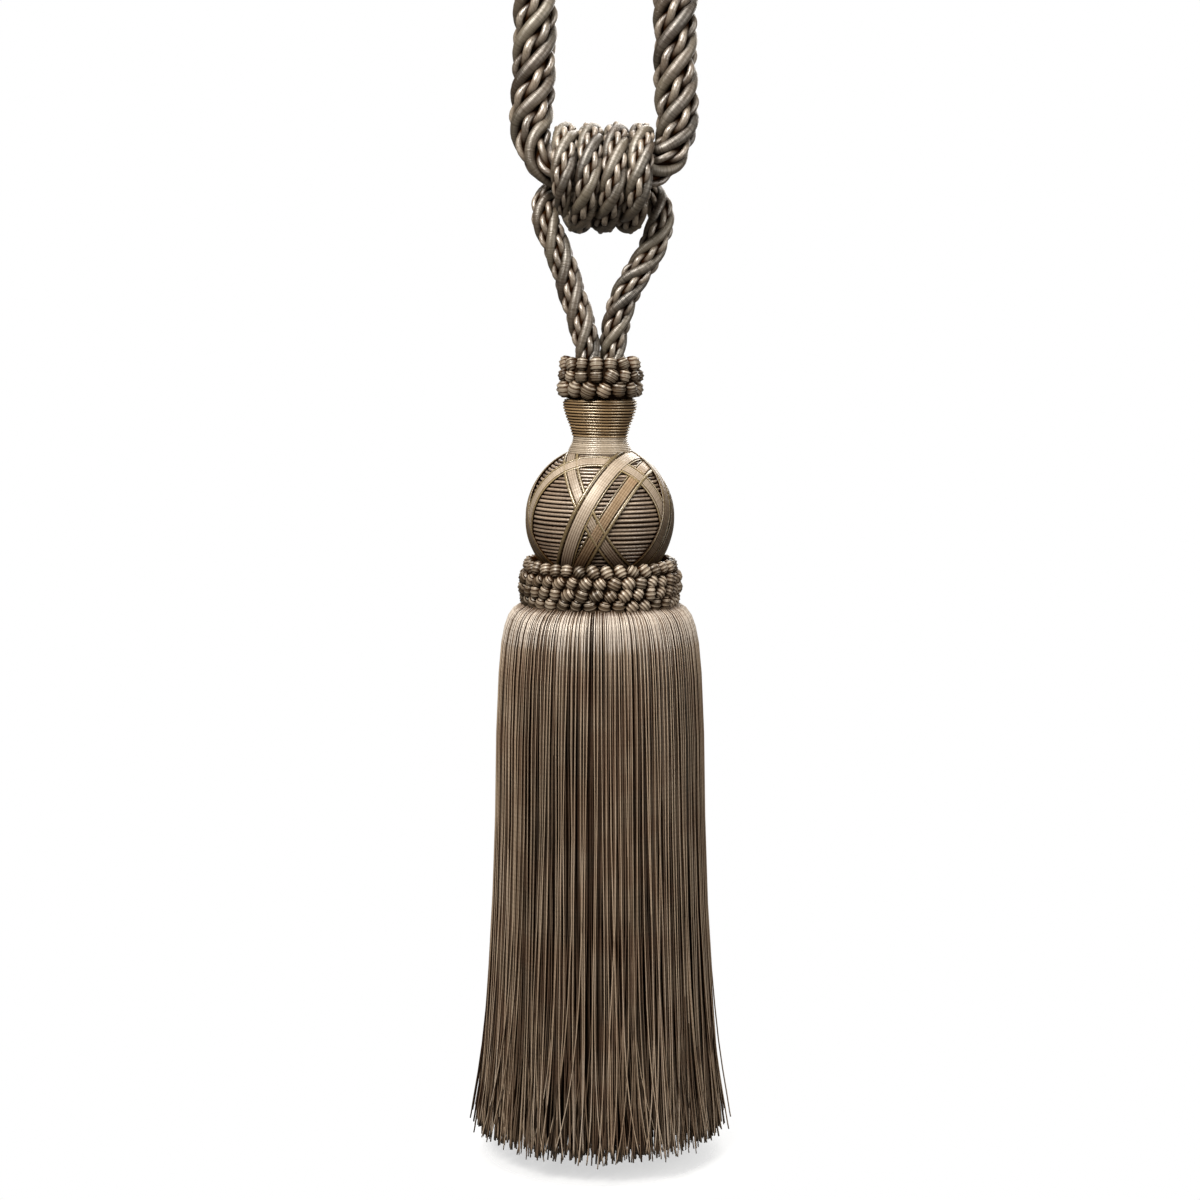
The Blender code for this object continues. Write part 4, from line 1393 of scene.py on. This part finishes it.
@dataclass
class Skirt:
    """The long fringe: fine twisted strands that fall from the wide collar.

    The outer line's (radius, height) points run from the root to the hem.
    """

    sides: int = 4
    outer: Points = in_metres(
        (23.2, -217.6), (26.2, -219), (28.9, -220.8), (30.6, -223.2), (31.9, -226.9), (32.9, -232),
        (33.8, -242), (34.7, -262), (35.2, -290), (36.2, -320), (37.4, -345), (38.2, -358),
        (39, -370), (39.9, -380), (40.8, -388.5), (41.3, -394.4), (41.5, -396.3),
    )
    clump: int = 5
    tones: Numbers = (0.05, 1.0)
    tone_mix: float = 0.75
    hem_jitter: float = 2.3 * MM
    place_jitter: Numbers = (-0.3, 0.3)
    waves: Numbers = (0.6, 1.6)
    sway: float = 1.2 * MM
    sway_shares: Numbers = (0.2, 1.0)
    flyaway_share: float = 0.05
    flyaway: float = 4.0 * MM
    flyaway_range: Numbers = (0.3, 1.0)
    ruffle: float = 0.4 * MM
    root_share: float = 0.45
    root_part: float = 1 / 6
    # Painted shade at the roots under the collar, and deep in the skirt, less so near the hem.
    root_lit_z: float = -221.5 * MM
    root_open: float = 0.1
    light_reach: float = 1.3 * MM
    # Painted sheen: the tone rises in a band on the shoulder, towards the pale sheen colour.
    gleam_z: float = -225.0 * MM
    gleam_reach: float = 5.2 * MM
    gleam: float = 2.3
    thick_shares: Numbers = (0.85, 1.1)
    tip_from: float = 0.9
    tip_width: float = 0.9
    tip_tone: float = 0.55
    back_light: float = 0.12
    hem_light: float = 4.5
    # Painted light: lifts the strands' tone towards the hem.
    hem_painted_light: float = 0.35
    layers: Sequence[SkirtLayer] = (
        SkirtLayer("skirt_outer", 250, (0.0, 0.4), (0.5, 0.27), 0.52, 1.2, 2.2, 41),
        SkirtLayer("skirt_second", 300, (0.4, 1.0), (0.5, 0.27), 0.56, 1.2, 2.0, 42),
        SkirtLayer("skirt_third", 330, (1.0, 1.9), (0.5, 0.25), 0.68, 1.2, 1.8, 43),
        # The inner layer's lower middle tone is painted shade, deep in the skirt.
        SkirtLayer("skirt_inner", 900, (1.9, 17.0), (0.45, 0.25), 0.95, 1.6, 1.2, 44),
        SkirtLayer("skirt_strays", 150, (-0.4, 0.0), (0.9, 0.1), 0.48, 2.0, 5.0, 45, STRAY),
    )

    def build(self) -> list[Object]:
        """Hang every layer of strands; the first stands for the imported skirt.

        Returns:
            The finished layers.
        """
        made = []
        for layer in self.layers:
            piece = Piece(layer.name)
            piece.add(Shape.hung(self._strands(layer)), layer.finish)
            made.append(piece.finish(Slot.FRINGE, *(() if made else ("skirt",))))
        return made

    def _strands(self, layer: SkirtLayer) -> Bundle:
        """The centre lines of a layer's strands.

        Args:
            layer: the layer.

        Returns:
            Its strands, ready to be drawn out.
        """
        rng = np.random.default_rng(layer.seed)
        line, each = np.array(self.outer), (layer.strands, 1)
        share = np.linspace(0.0, 1.0, len(line))
        down = (line[:, 1] - line[0, 1]) / (line[-1, 1] - line[0, 1])
        low, end = down**3, down**6
        place = np.arange(layer.strands)[:, None] + rng.uniform(*self.place_jitter, each)
        depth = rng.uniform(*layer.depth, each) * MM
        depth = depth * (self.root_share + (1 - self.root_share) * np.minimum(1.0, down / self.root_part))
        height = line[:, 1] + rng.uniform(-1, 1, each) * self.hem_jitter * down
        wave = rng.uniform(*self.waves, each) * down * tau
        start = rng.uniform(0, tau, each)
        sideways = (np.sin(wave + start) - np.sin(start)) * self.sway * down
        sideways = sideways * rng.uniform(*self.sway_shares, each)
        sideways = sideways + rng.normal(size=each) * layer.spread * MM * low
        sideways = sideways + rng.normal(size=each) * layer.bend * MM * down**8
        stray = (rng.uniform(0, 1, each) < self.flyaway_share) * rng.uniform(*self.flyaway_range, each)
        radius = line[:, 0] - layer.thickness * MM / 2 - depth + stray * self.flyaway * down**5
        radius = radius + rng.normal(0.0, self.ruffle, each) * low
        angle = tau * place / layer.strands + sideways / radius
        centres = np.stack([radius * np.cos(angle), radius * np.sin(angle), height], axis=-1)
        outward = np.stack([np.cos(angle), np.sin(angle), np.zeros_like(angle)], axis=-1)
        radii = rng.uniform(*self.thick_shares, each) * layer.thickness * MM / 2
        radii = radii * np.interp(share, (0, self.tip_from, 1), (1, 1, self.tip_width))
        clumps = eased(rng.normal(size=layer.strands), self.clump)[:, None] * self.clump**0.5
        own = layer.tone[0] + layer.tone[1] * self.tone_mix * (rng.normal(size=each) + clumps)
        # Painted sheen on the shoulder.
        gleam = np.exp(-(((height - self.gleam_z) / self.gleam_reach) ** 2)) * self.gleam
        # Painted light: the tone also rises towards the hem.
        tones = np.clip(own, *self.tones) * (1 + gleam + self.hem_painted_light * end)
        tones[:, -1] *= self.tip_tone
        # Painted shade: darker the deeper a strand lies, less so near the hem, and darker at the roots under
        # the collar.
        sunk = np.exp(-np.maximum(depth, 0.0) / (self.light_reach * (1 + self.hem_light * end)))
        sunk = sunk * np.interp(height, (self.root_lit_z, line[0, 1]), (1.0, self.root_open))
        # Painted shade on each strand's sides and back.
        crest = np.maximum(0.0, np.cos(corner_turns(self.sides))) + self.back_light
        return Bundle(centres, outward, radii, tones, self.sides, sunk[:, :, None] * crest)


# Studio


@dataclass
class Studio:
    """The camera, the pale ground and the soft lights.

    Each light has its name, its place, its side in metres and its watts.
    """

    target: Point = (0.0, 0.0, -0.218)
    distance: float = 0.8
    elevation_deg: float = 7.0
    sensor: float = 36.0
    view_height: float = 0.4
    ground_gap: float = 5.5 * MM
    ground_size: float = 12.0
    room_light: float = 0.145
    room_colour: Colour = (1.0, 0.93, 0.84)
    light_colour: Colour = (1.0, 0.975, 0.94)
    lights: Sequence[tuple[str, Point, float, float]] = (
        ("key", (-0.36, -0.62, 0.52), 0.40, 15.6),
        ("fill", (0.85, -0.50, 0.05), 0.50, 4.3),
        ("top", (0.00, 0.05, 0.75), 0.40, 9.0),
        ("back", (0.20, 0.75, 0.20), 0.60, 7.0),
    )

    def place_camera(self) -> None:
        """Set the camera at the photograph's angle."""
        tilt = radians(self.elevation_deg)
        back = Vector((0.0, -cos(tilt), sin(tilt)))
        data = bpy.data.cameras.new("camera")
        data.sensor_width = self.sensor
        data.lens = self.sensor * self.distance / self.view_height
        camera = placed("camera", data)
        camera.location = Vector(self.target) + back * self.distance
        camera.rotation_euler = (-back).to_track_quat("-Z", "Y").to_euler()
        bpy.context.scene.camera = camera

    def build(self) -> None:
        """Lay the white ground just below the hem, and light it and the room."""
        bpy.context.scene.view_settings.view_transform = "Standard"
        bm = bmesh.new()
        bmesh.ops.create_grid(bm, x_segments=1, y_segments=1, size=self.ground_size / 2)
        floor_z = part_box("skirt")[0].z - self.ground_gap
        bmesh.ops.translate(bm, verts=bm.verts, vec=(0.0, 0.0, floor_z))
        ground = placed("ground", as_mesh("ground", bm))
        ground.data.materials.append(WHITE_GROUND.material())
        self._room()
        for name, place, size, watts in self.lights:
            data = bpy.data.lights.new(name, "AREA")
            data.size = size
            data.energy = watts
            data.color = self.light_colour
            light = placed(name, data)
            light.location = place
            aim = Vector(self.target) - Vector(place)
            light.rotation_euler = aim.to_track_quat("-Z", "Y").to_euler()

    def _room(self) -> None:
        """A white room: bright behind the tassel, softer and warmer as its light."""
        world = bpy.data.worlds.new("room")
        bpy.context.scene.world = world
        world.use_nodes = True
        wiring = Wiring(world.node_tree)
        seen = wiring.add("ShaderNodeLightPath").outputs["Is Camera Ray"]
        colour = wiring.mix(seen, (*self.room_colour, 1.0), WHITE)
        strength = wiring.ramp(seen, 0.0, 1.0, self.room_light, 1.0)
        wiring.feed(world.node_tree.nodes["Background"], {"Color": colour, "Strength": strength})


def main() -> None:
    """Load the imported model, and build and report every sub-assembly."""
    logging.basicConfig(level=logging.INFO, format="%(message)s")
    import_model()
    studio = Studio()
    studio.place_camera()
    for part in (Ropework(), UPPER_COLLAR, Head(), Straps(), LOWER_COLLAR, Skirt()):
        for made in part.build():
            triangles = sum(len(face.vertices) - 2 for face in made.data.polygons)
            LOG.info("%s: %d triangles", made.name, triangles)
    studio.build()


if __name__ == "__main__":
    main()
